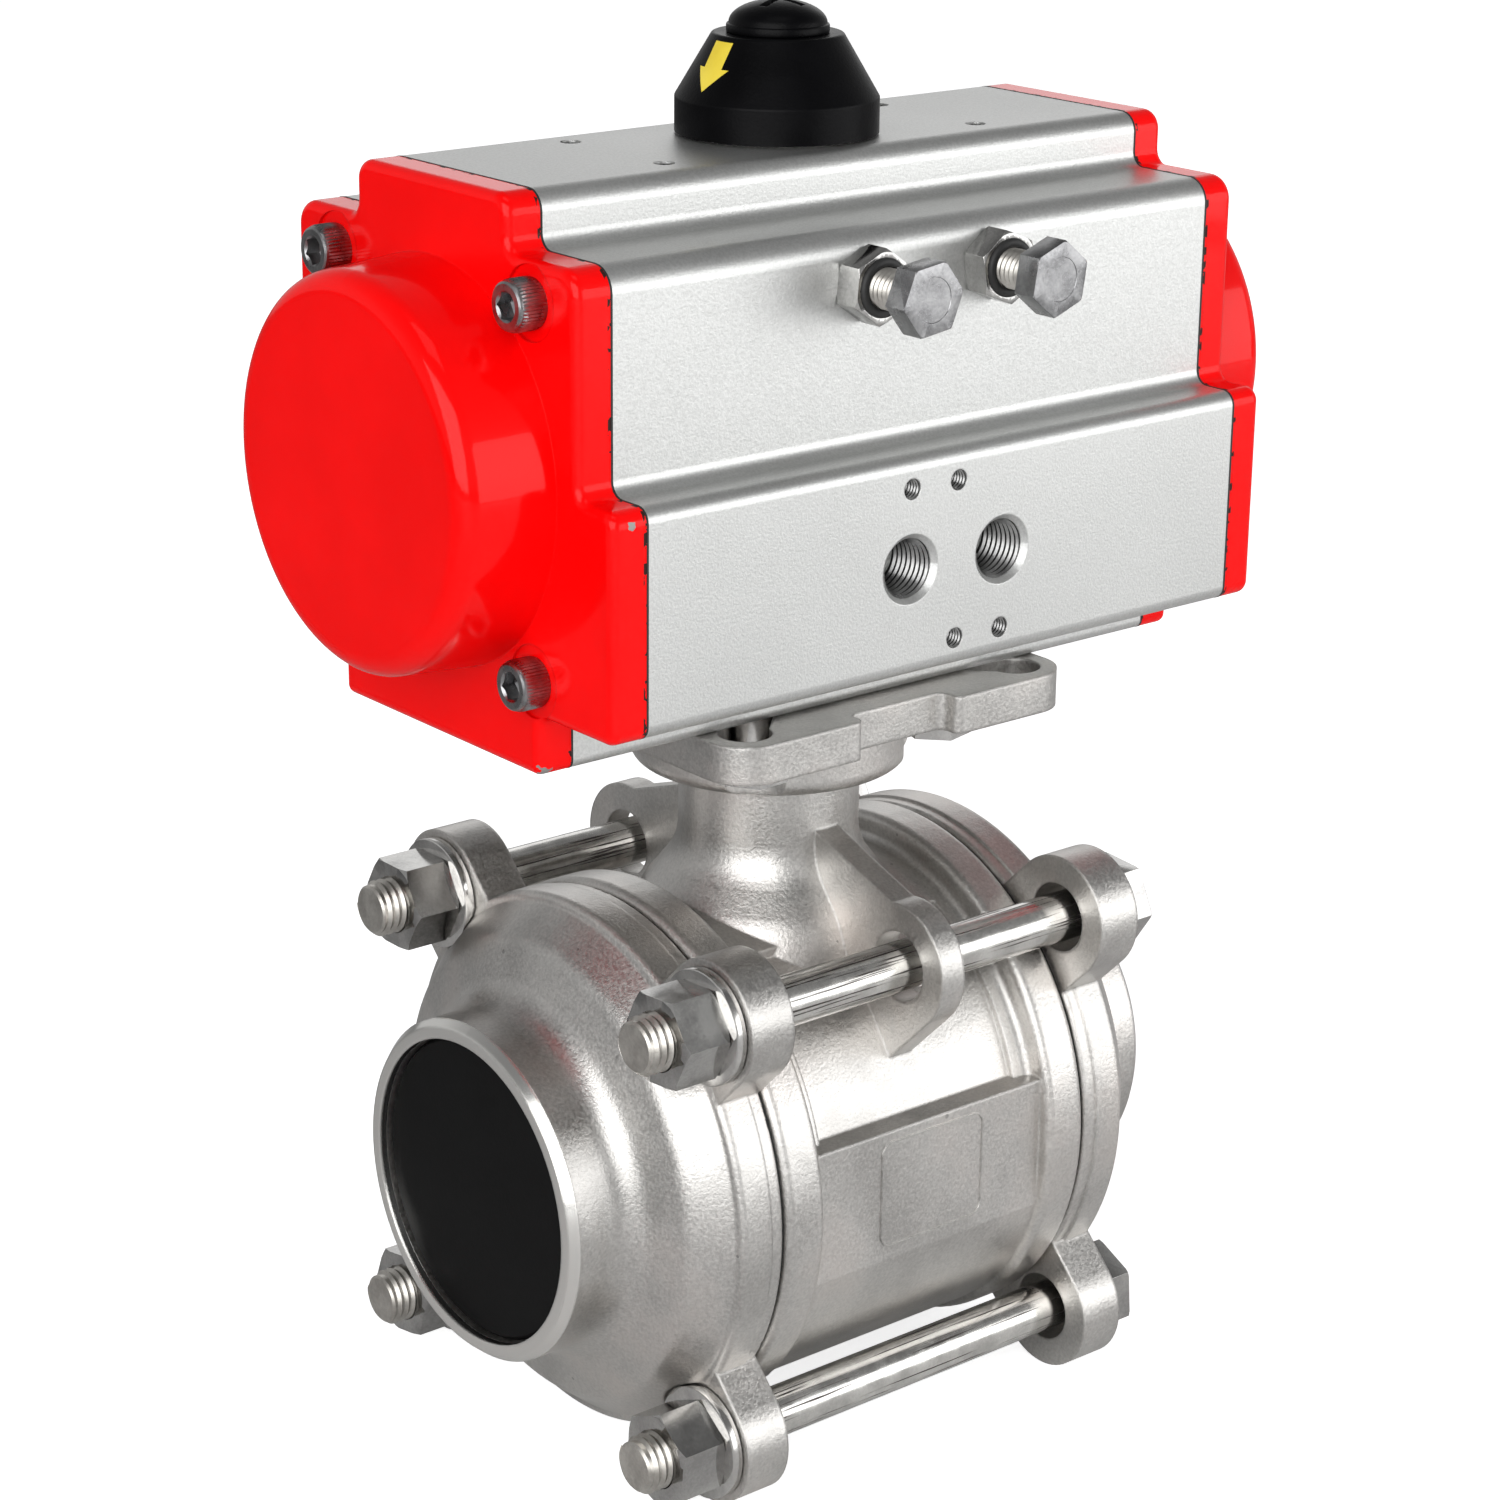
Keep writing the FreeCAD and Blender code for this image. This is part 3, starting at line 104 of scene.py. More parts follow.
def mixNode(tree, kind, factor, first, second):
    item = addNode(tree, "ShaderNodeMix", data_type=kind)
    for name, source in (("Factor", factor), ("A", first), ("B", second)):
        socket = [s for s in item.inputs if s.name == name and s.enabled][0]
        feed(tree, source, socket)
    return [s for s in item.outputs if s.enabled][0]


def mixColor(tree, factor, first, second):
    return mixNode(tree, "RGBA", factor, first, second)


def mixValue(tree, factor, first, second):
    return mixNode(tree, "FLOAT", factor, first, second)


# shared effects, each a group built once

def startGroup(name, inputs, outputs):
    group = bpy.data.node_groups.new(name, "ShaderNodeTree")
    for label, level in inputs:
        group.interface.new_socket(label, in_out="INPUT", socket_type="NodeSocketFloat").default_value = level
    for label in outputs:
        group.interface.new_socket(label, in_out="OUTPUT", socket_type="NodeSocketFloat")
    return group, addNode(group, "NodeGroupInput"), addNode(group, "NodeGroupOutput")


def makeGrainGroup():  # fine grain, broad blotches and round pits, sizes in metres
    group, start, end = startGroup("surfaceGrain", [("Grain Size", 0.0005), ("Blotch Size", 0.02)],
                                   ["Grain", "Blotch", "Pits", "Waves"])
    place = addNode(group, "ShaderNodeTexCoord").outputs["Object"]

    def noise(size, detail, roughness=0.5):
        item = addNode(group, "ShaderNodeTexNoise")
        item.inputs["Detail"].default_value = detail
        item.inputs["Roughness"].default_value = roughness
        link(group, place, item.inputs["Vector"])
        link(group, mathNode(group, "DIVIDE", 1, size), item.inputs["Scale"])
        return item.outputs["Fac"]

    link(group, noise(start.outputs["Grain Size"], 3, 0.6), end.inputs["Grain"])
    link(group, noise(start.outputs["Blotch Size"], 4), end.inputs["Blotch"])
    link(group, noise(mathNode(group, "MULTIPLY", start.outputs["Grain Size"], 9), 1), end.inputs["Waves"])
    cells = addNode(group, "ShaderNodeTexVoronoi")
    link(group, place, cells.inputs["Vector"])
    link(group, mathNode(group, "DIVIDE", 0.16, start.outputs["Grain Size"]), cells.inputs["Scale"])
    chosen = addNode(group, "ShaderNodeSeparateColor")
    link(group, cells.outputs["Color"], chosen.inputs["Color"])
    size = mathNode(group, "MULTIPLY", mathNode(group, "SUBTRACT", chosen.outputs["Red"], 0.93), 1.8)
    link(group, mathNode(group, "LESS_THAN", cells.outputs["Distance"], size), end.inputs["Pits"])
    return group


def makeScuffGroup():  # long thin scratches along X
    group, start, end = startGroup("scuffs", [("Length", 0.03), ("Width", 0.0006), ("Amount", 0.4)],
                                   ["Scuff", "Fine"])
    place = addNode(group, "ShaderNodeTexCoord").outputs["Object"]
    for label, stretch in (("Scuff", 1), ("Fine", 0.35)):
        scale = addNode(group, "ShaderNodeCombineXYZ")
        along = mathNode(group, "DIVIDE", 1, mathNode(group, "MULTIPLY", start.outputs["Length"], stretch))
        link(group, along, scale.inputs["X"])
        across = mathNode(group, "DIVIDE", 1, mathNode(group, "MULTIPLY", start.outputs["Width"], stretch))
        link(group, across, scale.inputs["Y"])
        link(group, across, scale.inputs["Z"])
        stretched = addNode(group, "ShaderNodeVectorMath", operation="MULTIPLY")
        link(group, place, stretched.inputs[0])
        link(group, scale.outputs["Vector"], stretched.inputs[1])
        noise = addNode(group, "ShaderNodeTexNoise")
        noise.inputs["Scale"].default_value = 1
        noise.inputs["Detail"].default_value = 3
        link(group, stretched.outputs["Vector"], noise.inputs["Vector"])
        if label == "Fine":
            link(group, noise.outputs["Fac"], end.inputs[label])
        else:
            low = mathNode(group, "SUBTRACT", 0.72, mathNode(group, "MULTIPLY", start.outputs["Amount"], 0.3))
            mask = addNode(group, "ShaderNodeMapRange")
            link(group, noise.outputs["Fac"], mask.inputs["Value"])
            link(group, low, mask.inputs["From Min"])
            link(group, mathNode(group, "ADD", low, 0.07), mask.inputs["From Max"])
            link(group, mask.outputs["Result"], end.inputs[label])
    return group


grainGroup = makeGrainGroup()
scuffGroup = makeScuffGroup()


def startMaterial(name, metallic, roughness, grainSize, blotchSize):
    material = bpy.data.materials.new(name)
    material.use_nodes = True
    tree = material.node_tree
    shader = tree.nodes["Principled BSDF"]
    shader.inputs["Metallic"].default_value = metallic
    shader.inputs["Roughness"].default_value = roughness
    grain = addNode(tree, "ShaderNodeGroup", node_tree=grainGroup)
    grain.inputs["Grain Size"].default_value = grainSize
    grain.inputs["Blotch Size"].default_value = blotchSize
    return material, tree, shader, grain


def addBump(tree, shader, height, strength, distance, edge=0):
    bump = addNode(tree, "ShaderNodeBump")
    if edge:  # worn, rounded look along the edges, in mm
        rounding = addNode(tree, "ShaderNodeBevel", samples=4)
        rounding.inputs["Radius"].default_value = edge * mm
        link(tree, rounding.outputs["Normal"], bump.inputs["Normal"])
    bump.inputs["Strength"].default_value = strength
    bump.inputs["Distance"].default_value = distance
    link(tree, height, bump.inputs["Height"])
    link(tree, bump.outputs["Normal"], shader.inputs["Normal"])


pitColor = grey(0.12)
turnedFace = {"color": (0.86, 0.85, 0.82, 1), "rough": 0.16}
scuffMark = {"color": (0.10, 0.09, 0.085, 1), "rough": 0.55}


def castFinish(name, dark, light, warm, look):
    # blasted casting: fine grain, scattered pits, slow waves and warm tinted patches
    material, tree, shader, grain = startMaterial(name, 1, look["rough"], look["grain"], look["blotch"])
    tone = mathNode(tree, "ADD", mathNode(tree, "MULTIPLY", grain.outputs["Grain"], 0.4),
                    mathNode(tree, "MULTIPLY", grain.outputs["Blotch"], 0.6))
    color = ramp(tree, tone, [(0.36, dark), (0.64, light)])
    tint = ramp(tree, grain.outputs["Blotch"], [(0.5, grey(0)), (0.68, grey(look["tint"]))])
    color = mixColor(tree, tint, color, warm)
    color = mixColor(tree, mathNode(tree, "MULTIPLY", grain.outputs["Pits"], look["pits"]), color, pitColor)
    rough = ramp(tree, grain.outputs["Grain"], [(0.35, grey(look["smooth"])), (0.65, grey(look["rough"]))])
    if "machinedFrom" in look:  # turned faces past this distance from the middle
        place = addNode(tree, "ShaderNodeSeparateXYZ")
        link(tree, addNode(tree, "ShaderNodeTexCoord").outputs["Object"], place.inputs["Vector"])
        far = mathNode(tree, "ABSOLUTE", place.outputs["X"])
        turned = mathNode(tree, "GREATER_THAN", far, look["machinedFrom"] * mm)
        color = mixColor(tree, turned, color, turnedFace["color"])
        rough = mixValue(tree, turned, rough, turnedFace["rough"])
        plain = mathNode(tree, "SUBTRACT", 1, turned)
    else:
        plain = None
    link(tree, color, shader.inputs["Base Color"])
    link(tree, rough, shader.inputs["Roughness"])
    height = mathNode(tree, "ADD", mathNode(tree, "MULTIPLY", grain.outputs["Grain"], 0.5),
                      mathNode(tree, "MULTIPLY", grain.outputs["Waves"], look["waves"]))
    height = mathNode(tree, "SUBTRACT", height, mathNode(tree, "MULTIPLY", grain.outputs["Pits"], 0.5))
    if plain is not None:
        height = mathNode(tree, "MULTIPLY", height, plain)
    addBump(tree, shader, height, look["bump"], look["depth"], look["edge"])
    return material


def metalFinish(name, dark, light, look):
    material, tree, shader, grain = startMaterial(name, 1, look["rough"], look["grain"], look["blotch"])
    tone = mathNode(tree, "ADD", mathNode(tree, "MULTIPLY", grain.outputs["Grain"], look["mix"]),
                    mathNode(tree, "MULTIPLY", grain.outputs["Blotch"], 1 - look["mix"]))
    color = ramp(tree, tone, [(0.38, dark), (0.62, light)])
    rough = ramp(tree, grain.outputs["Blotch"], [(0.35, grey(look["smooth"])), (0.65, grey(look["rough"]))])
    height = grain.outputs["Grain"]
    if "scuff" in look:
        scuff = addNode(tree, "ShaderNodeGroup", node_tree=scuffGroup)
        scuff.inputs["Amount"].default_value = look["scuff"]
        color = mixColor(tree, scuff.outputs["Scuff"], color, scuffMark["color"])
        rough = mixValue(tree, scuff.outputs["Scuff"], rough, scuffMark["rough"])
        height = scuff.outputs["Fine"]
    link(tree, color, shader.inputs["Base Color"])
    link(tree, rough, shader.inputs["Roughness"])
    addBump(tree, shader, height, look["bump"], look["depth"], look.get("edge", 0))
    return material


def plainFinish(name, dark, light, roughness, grainSize, bumpStrength, spread=0.08, specular=0.5):
    material, tree, shader, grain = startMaterial(name, 0, roughness, grainSize, 0.01)
    shader.inputs["Specular IOR Level"].default_value = specular
    color = ramp(tree, grain.outputs["Blotch"], [(0.35, dark), (0.65, light)])
    link(tree, color, shader.inputs["Base Color"])
    rough = ramp(tree, grain.outputs["Blotch"], [(0.3, grey(roughness)), (0.7, grey(roughness + spread))])
    link(tree, rough, shader.inputs["Roughness"])
    addBump(tree, shader, grain.outputs["Grain"], bumpStrength, 0.0002)
    return material


paintLook = {
    "dark": (0.90, 0.001, 0.0012, 1),
    "light": (0.98, 0.0015, 0.002, 1),
    "rough": 0.17,
    "coat": 0.22,
    "coatRough": 0.04,
    "specular": 0.06,
    "chipRough": 0.6,
    "dirt": (0.035, 0.012, 0.010, 1),
    "dirtSize": 420,  # noise scale of the specks
    "dirtFrom": 0.56,  # noise level where a speck starts
    "wobble": 900,  # noise scale of the chip outlines
    "plateInner": 76.9,  # the plate edge against the housing, mm from the middle
    # chips in mm: x, y, z, radius, depth of colour (0 dark primer, 1 bare metal)
    "chips": [(-79.5, -56.7, 154.6, 1.1, 0.8), (-82.5, -33.0, 101.4, 1.6, 0.6),
              (-93.0, -34.6, 143.0, 0.9, 0.0), (-96.5, -28.0, 176.5, 0.6, 0.5),
              (84.0, 33.0, 102.0, 1.4, 0.7), (80.0, 46.0, 196.0, 1.0, 0.8)],
}


def paintFinish(name, look):
    material, tree, shader, grain = startMaterial(name, 0, look["rough"], 0.0035, 0.03)
    shader.inputs["Coat Weight"].default_value = look["coat"]
    shader.inputs["Coat Roughness"].default_value = look["coatRough"]
    shader.inputs["Specular IOR Level"].default_value = look["specular"]
    color = ramp(tree, grain.outputs["Blotch"], [(0.35, look["dark"]), (0.65, look["light"])])
    place = addNode(tree, "ShaderNodeTexCoord").outputs["Object"]
    wobble = addNode(tree, "ShaderNodeTexNoise")
    wobble.inputs["Scale"].default_value = look["wobble"]
    link(tree, place, wobble.inputs["Vector"])
    chipped = None
    for x, y, z, radius, bare in look["chips"]:
        away = addNode(tree, "ShaderNodeVectorMath", operation="DISTANCE")
        link(tree, place, away.inputs[0])
        away.inputs[1].default_value = (x * mm, y * mm, z * mm)
        uneven = mathNode(tree, "MULTIPLY_ADD", wobble.outputs["Fac"], radius * 2.4 * mm,
                          away.outputs["Value"])
        mask = mathNode(tree, "LESS_THAN", uneven, radius * 2.0 * mm)
        under = (0.05 + 0.35 * bare, 0.04 + 0.34 * bare, 0.035 + 0.33 * bare, 1)  # primer to metal
        color = mixColor(tree, mask, color, under)
        chipped = mask if chipped is None else mathNode(tree, "MAXIMUM", chipped, mask)
    apart = addNode(tree, "ShaderNodeSeparateXYZ")  # dark specks where the plate meets the housing
    link(tree, place, apart.inputs["Vector"])
    far = mathNode(tree, "ABSOLUTE", apart.outputs["X"])
    near = mathNode(tree, "LESS_THAN", far, look["plateInner"] * mm)
    specks = addNode(tree, "ShaderNodeTexNoise")
    specks.inputs["Scale"].default_value = look["dirtSize"]
    specks.inputs["Detail"].default_value = 4
    link(tree, place, specks.inputs["Vector"])
    speckled = mathNode(tree, "GREATER_THAN", specks.outputs["Fac"], look["dirtFrom"])
    dirty = mathNode(tree, "MULTIPLY", near, speckled)
    color = mixColor(tree, dirty, color, look["dirt"])
    link(tree, color, shader.inputs["Base Color"])
    worn = mathNode(tree, "MAXIMUM", chipped, dirty)
    link(tree, mixValue(tree, worn, look["rough"], look["chipRough"]), shader.inputs["Roughness"])
    height = mathNode(tree, "SUBTRACT", mathNode(tree, "MULTIPLY", grain.outputs["Grain"], 0.25),
                      mathNode(tree, "MULTIPLY", chipped, 0.8))
    addBump(tree, shader, height, 0.35, 0.0003, 0.5)
    return material


castLook = {"smooth": 0.31, "rough": 0.44, "grain": 0.0007, "blotch": 0.024, "tint": 0.3, "pits": 0.45,
            "waves": 0.6, "bump": 0.6, "depth": 0.0003, "edge": 1.0}
brightLook = {"smooth": 0.12, "rough": 0.24, "grain": 0.0007, "blotch": 0.005, "mix": 0.3, "bump": 0.04,
              "depth": 0.0001}
housingLook = {"smooth": 0.41, "rough": 0.45, "grain": 0.00055, "blotch": 0.05, "mix": 0.75, "bump": 0.4,
               "depth": 0.00012, "edge": 0.4}
polishedLook = {"smooth": 0.05, "rough": 0.1, "grain": 0.0004, "blotch": 0.02, "mix": 0.4, "bump": 0.03,
                "depth": 0.0001}
springLook = {"smooth": 0.3, "rough": 0.4, "grain": 0.0005, "blotch": 0.01, "mix": 0.4, "bump": 0.1,
              "depth": 0.0001}
aluminiumLook = {"smooth": 0.4, "rough": 0.5, "grain": 0.001, "blotch": 0.02, "mix": 0.4, "bump": 0.2,
                 "depth": 0.0002}
castColors = ((0.45, 0.44, 0.425, 1), (0.73, 0.715, 0.69, 1), (0.56, 0.49, 0.45, 1))  # dark, light, warm
finishes = {
    "housing": metalFinish("blastedAnodised", (0.575, 0.58, 0.57, 1), (0.67, 0.675, 0.665, 1), housingLook),
    "red_paint": paintFinish("redPaint", paintLook),
    "bright_steel": metalFinish("brightSteel", (0.50, 0.49, 0.48, 1), (0.70, 0.69, 0.67, 1), brightLook),
    "cast_steel": castFinish("castStainless", *castColors, castLook),
    "black_plastic": plainFinish("blackPlastic", (0.0012, 0.0012, 0.0016, 1), (0.0022, 0.0022, 0.0028, 1),
                                 0.30, 0.0006, 0.25, specular=0.08),
    "yellow_plastic": plainFinish("yellowInlay", (0.80, 0.60, 0.03, 1), (0.90, 0.72, 0.08, 1),
                                  0.42, 0.0008, 0.1),
    "plug_plastic": plainFinish("plugPlastic", (0.0012, 0.0012, 0.0014, 1), (0.003, 0.003, 0.0032, 1),
                                0.42, 0.001, 0.1, specular=0.1),
    "black_rubber": plainFinish("blackRubber", grey(0.010), grey(0.018), 0.5, 0.0006, 0.15),
    "graphite": plainFinish("graphite", grey(0.008), grey(0.016), 0.6, 0.0006, 0.1),
    "white_polymer": plainFinish("whitePolymer", (0.74, 0.73, 0.70, 1), (0.80, 0.79, 0.76, 1),
                                 0.45, 0.001, 0.05),
    "polished_steel": metalFinish("polishedSteel", (0.62, 0.62, 0.61, 1), (0.78, 0.78, 0.77, 1), polishedLook),
    "spring_steel": metalFinish("springSteel", (0.28, 0.28, 0.29, 1), (0.42, 0.42, 0.43, 1), springLook),
    "cast_aluminium": metalFinish("castAluminium", grey(0.45), grey(0.6), aluminiumLook),
}
endPieceFinish = castFinish("castWithTurnedEnd", *castColors, {**castLook, "machinedFrom": 77.15})
shankFinish = metalFinish("drawnSteel", (0.56, 0.55, 0.53, 1), (0.78, 0.77, 0.74, 1),
                          {**brightLook, "scuff": 0.5})
threadFinish = metalFinish("rolledThread", (0.42, 0.40, 0.37, 1), (0.62, 0.60, 0.56, 1),
                           {**brightLook, "smooth": 0.30, "rough": 0.42})
boreThreadFinish = metalFinish("tappedThread", (0.24, 0.24, 0.24, 1), (0.42, 0.42, 0.415, 1),
                               {**brightLook, "smooth": 0.25, "rough": 0.4})
nutFinish = metalFinish("polishedNut", (0.34, 0.335, 0.33, 1), (0.52, 0.515, 0.50, 1),
                        {**brightLook, "smooth": 0.08, "rough": 0.17, "blotch": 0.008})
headFinish = metalFinish("coldHeadedSteel", (0.22, 0.22, 0.225, 1), (0.38, 0.38, 0.385, 1),
                         {**brightLook, "smooth": 0.24, "rough": 0.36, "bump": 0.3})
extraFinishes = (endPieceFinish, shankFinish, threadFinish, boreThreadFinish, nutFinish, headFinish)
slotOf = {entry["node"]: entry["material_slot"] for entry in frame["record"]["subparts"]}
for name, item in nodes.items():
    item.data.materials.clear()
    item.data.materials.append(finishes[slotOf[name]])
for side in ("left", "right"):
    nodes[side + "_end_piece"].data.materials[0] = endPieceFinish
print("materials ready:", len(finishes) + len(extraFinishes))


# mesh helpers; every master stands on the origin and points up Z, in mm

def meshObject(name, mesh):
    item = bpy.data.objects.new(name, mesh)
    bpy.context.collection.objects.link(item)
    return item


def meshOf(name, shape):
    bmesh.ops.recalc_face_normals(shape, faces=shape.faces)
    mesh = bpy.data.meshes.new(name)
    shape.to_mesh(mesh)
    shape.free()
    return mesh


def closedBand(name, shape, rings):  # equal rings joined one to the next, and the last to the first
    count = len(rings[0])
    for low, high in zip(rings, rings[1:] + rings[:1]):
        for k in range(count):
            shape.faces.new((low[k], low[(k + 1) % count], high[(k + 1) % count], high[k]))
    return meshOf(name, shape)


def revolve(name, rows, sides=64, ring=False):  # rows are (radius, height); ring joins last to first
    shape = bmesh.new()
    loops = []
    for radius, height in rows:
        if radius < 1e-6:
            loops.append([shape.verts.new((0, 0, height))])
        else:
            loops.append([shape.verts.new((radius * math.cos(2 * math.pi * k / sides),
                                           radius * math.sin(2 * math.pi * k / sides), height))
                          for k in range(sides)])
    pairs = list(zip(loops, loops[1:])) + ([(loops[-1], loops[0])] if ring else [])
    for low, high in pairs:
        for k in range(sides):
            corners = [low[k % len(low)], low[(k + 1) % len(low)],
                       high[(k + 1) % len(high)], high[k % len(high)]]
            corners = [corner for i, corner in enumerate(corners) if corner not in corners[:i]]
            if len(corners) > 2:
                shape.faces.new(corners)
    return meshOf(name, shape)


def evaluatedMesh(item):
    found = item.evaluated_get(bpy.context.evaluated_depsgraph_get())
    return bpy.data.meshes.new_from_object(found)


def carved(mesh, toolMesh, operation):
    item = meshObject("base", mesh)
    tool = meshObject("tool", toolMesh)
    step = item.modifiers.new("carve", "BOOLEAN")
    step.operation = operation
    step.solver = "EXACT"
    step.object = tool
    result = evaluatedMesh(item)
    bpy.data.objects.remove(item)
    bpy.data.objects.remove(tool)
    return result


def bevelled(mesh, width, degrees=30, segments=2):
    item = meshObject("base", mesh)
    step = item.modifiers.new("soften", "BEVEL")
    step.width = width
    step.segments = segments
    step.limit_method = "ANGLE"
    step.angle_limit = math.radians(degrees)
    result = evaluatedMesh(item)
    bpy.data.objects.remove(item)
    return result


def shifted(mesh, x=0, y=0, z=0):
    mesh.transform(Matrix.Translation((x, y, z)))
    return mesh


def hexBlock(flats, height, chamferLow, chamferHigh, hole=0, face=0.5):
    # chamfers turned at 30 degrees; face is the flat end's radius as a share of the flats
    corner = flats / math.sqrt(3)
    prism = revolve("prism", [(0, 0), (corner, 0), (corner, height), (0, height)], 6)
    drop = (corner + 0.5 - flats * face) * math.tan(math.radians(30))
    low = [(flats * face, 0), (corner + 0.5, drop)] if chamferLow else [(corner + 1, -1)]
    high = [(corner + 1, height + 1)]
    if chamferHigh:
        high = [(corner + 0.5, height - drop), (flats * face, height)]
    rows = [(0, low[0][1])] + low + high + [(0, high[-1][1])]
    block = carved(prism, revolve("turning", rows, 96), "INTERSECT")
    if hole:
        drill = [(0, -1), (hole + 1.3, -1), (hole, 0.3), (hole, height - 0.3), (hole + 1.3, height + 1),
                 (0, height + 1)]
        block = carved(block, revolve("drill", drill, 64), "DIFFERENCE")
    return bevelled(block, 0.1)


def facing(direction, spin=0):  # rotation that turns +Z to a direction, after a spin about itself
    turn = Vector(direction).to_track_quat("Z", "Y") @ Quaternion((0, 0, 1), math.radians(spin))
    return turn.to_euler()


# geometry trees

def startTree(name, inputs):
    tree = bpy.data.node_groups.new(name, "GeometryNodeTree")
    tree.interface.new_socket("Geometry", in_out="INPUT", socket_type="NodeSocketGeometry")
    for label, kind in inputs:
        tree.interface.new_socket(label, in_out="INPUT", socket_type="NodeSocket" + kind)
    tree.interface.new_socket("Geometry", in_out="OUTPUT", socket_type="NodeSocketGeometry")
    return tree, addNode(tree, "NodeGroupInput"), addNode(tree, "NodeGroupOutput")


def finishInto(tree, start, end, geometry):
    real = addNode(tree, "GeometryNodeRealizeInstances")
    link(tree, geometry, real.inputs["Geometry"])
    paint = addNode(tree, "GeometryNodeSetMaterial")
    link(tree, real.outputs["Geometry"], paint.inputs["Geometry"])
    link(tree, start.outputs["Finish"], paint.inputs["Material"])
    link(tree, paint.outputs["Geometry"], end.inputs["Geometry"])


def standOnPoints(tree, start, end, master):  # copies at the points, turned by their own attribute
    turn = addNode(tree, "GeometryNodeInputNamedAttribute", data_type="FLOAT_VECTOR")
    turn.inputs["Name"].default_value = "turn"
    copies = addNode(tree, "GeometryNodeInstanceOnPoints")
    link(tree, start.outputs["Geometry"], copies.inputs["Points"])
    link(tree, master, copies.inputs["Instance"])
    link(tree, turn.outputs["Attribute"], copies.inputs["Rotation"])
    finishInto(tree, start, end, copies.outputs["Instances"])


def makeFastenerTree():
    tree, start, end = startTree("fastenerSet", [("Part", "Object"), ("Finish", "Material")])
    part = addNode(tree, "GeometryNodeObjectInfo", transform_space="ORIGINAL")
    link(tree, start.outputs["Part"], part.inputs["Object"])
    standOnPoints(tree, start, end, part.outputs["Geometry"])
    return tree


def makeThreadTree():  # a helical ridge of diamond section, for bolts and for tapped holes
    tree, start, end = startTree("screwThread", [("Middle Radius", "Float"), ("Ridge", "Float"),
                                                 ("Pitch", "Float"), ("Length", "Float"),
                                                 ("Finish", "Material")])
    helix = addNode(tree, "GeometryNodeCurveSpiral")
    helix.inputs["Resolution"].default_value = 40
    turns = mathNode(tree, "DIVIDE", start.outputs["Length"], start.outputs["Pitch"])
    link(tree, turns, helix.inputs["Rotations"])
    link(tree, start.outputs["Middle Radius"], helix.inputs["Start Radius"])
    link(tree, start.outputs["Middle Radius"], helix.inputs["End Radius"])
    link(tree, start.outputs["Length"], helix.inputs["Height"])
    upright = addNode(tree, "GeometryNodeSetCurveNormal", mode="Z_UP")
    link(tree, helix.outputs["Curve"], upright.inputs["Curve"])
    section = addNode(tree, "GeometryNodeCurvePrimitiveCircle")
    section.inputs["Resolution"].default_value = 4
    link(tree, start.outputs["Ridge"], section.inputs["Radius"])
    ridge = addNode(tree, "GeometryNodeCurveToMesh")
    ridge.inputs["Fill Caps"].default_value = True
    link(tree, upright.outputs["Curve"], ridge.inputs["Curve"])
    link(tree, section.outputs["Curve"], ridge.inputs["Profile Curve"])
    standOnPoints(tree, start, end, ridge.outputs["Mesh"])
    return tree


def makeKnurlTree():  # straight ribs round a cylinder
    tree, start, end = startTree("knurledRim", [("Radius", "Float"), ("Height", "Float"), ("Depth", "Float"),
                                                ("Ribs", "Int"), ("Finish", "Material")])
    rim = addNode(tree, "GeometryNodeMeshCylinder")
    rim.inputs["Side Segments"].default_value = 8
    link(tree, mathNode(tree, "MULTIPLY", start.outputs["Ribs"], 4), rim.inputs["Vertices"])
    link(tree, start.outputs["Radius"], rim.inputs["Radius"])
    link(tree, start.outputs["Height"], rim.inputs["Depth"])
    place = addNode(tree, "GeometryNodeInputPosition")
    apart = addNode(tree, "ShaderNodeSeparateXYZ")
    link(tree, place.outputs["Position"], apart.inputs["Vector"])
    angle = mathNode(tree, "ARCTAN2", apart.outputs["Y"], apart.outputs["X"])
    turnsRound = mathNode(tree, "DIVIDE", angle, 2 * math.pi)
    wave = mathNode(tree, "PINGPONG", mathNode(tree, "MULTIPLY", turnsRound, start.outputs["Ribs"]), 0.5)
    far = mathNode(tree, "ABSOLUTE", apart.outputs["Z"])
    edge = mathNode(tree, "MULTIPLY", start.outputs["Height"], 0.5)
    atEnd = mathNode(tree, "GREATER_THAN", far, mathNode(tree, "MULTIPLY", edge, 0.95))
    sink = mathNode(tree, "MAXIMUM", mathNode(tree, "MULTIPLY", wave, 2), atEnd)
    sink = mathNode(tree, "MULTIPLY", sink, start.outputs["Depth"])
    sink = mathNode(tree, "DIVIDE", sink, start.outputs["Radius"])
    keep = mathNode(tree, "SUBTRACT", 1, sink)
    narrowed = addNode(tree, "ShaderNodeCombineXYZ")
    link(tree, mathNode(tree, "MULTIPLY", apart.outputs["X"], keep), narrowed.inputs["X"])
    link(tree, mathNode(tree, "MULTIPLY", apart.outputs["Y"], keep), narrowed.inputs["Y"])
    link(tree, mathNode(tree, "ADD", apart.outputs["Z"], edge), narrowed.inputs["Z"])
    moved = addNode(tree, "GeometryNodeSetPosition")
    link(tree, rim.outputs["Mesh"], moved.inputs["Geometry"])
    link(tree, narrowed.outputs["Vector"], moved.inputs["Position"])
    finishInto(tree, start, end, moved.outputs["Geometry"])
    return tree


fastenerTree = makeFastenerTree()
threadTree = makeThreadTree()
knurlTree = makeKnurlTree()


def pointsMesh(places):  # places are (position, rotation) pairs
    mesh = bpy.data.meshes.new("places")
    mesh.from_pydata([tuple(place) for place, turn in places], [], [])
    turns = mesh.attributes.new("turn", "FLOAT_VECTOR", "POINT")
    for slot, (place, turn) in enumerate(places):
        turns.data[slot].vector = tuple(turn)
    return mesh


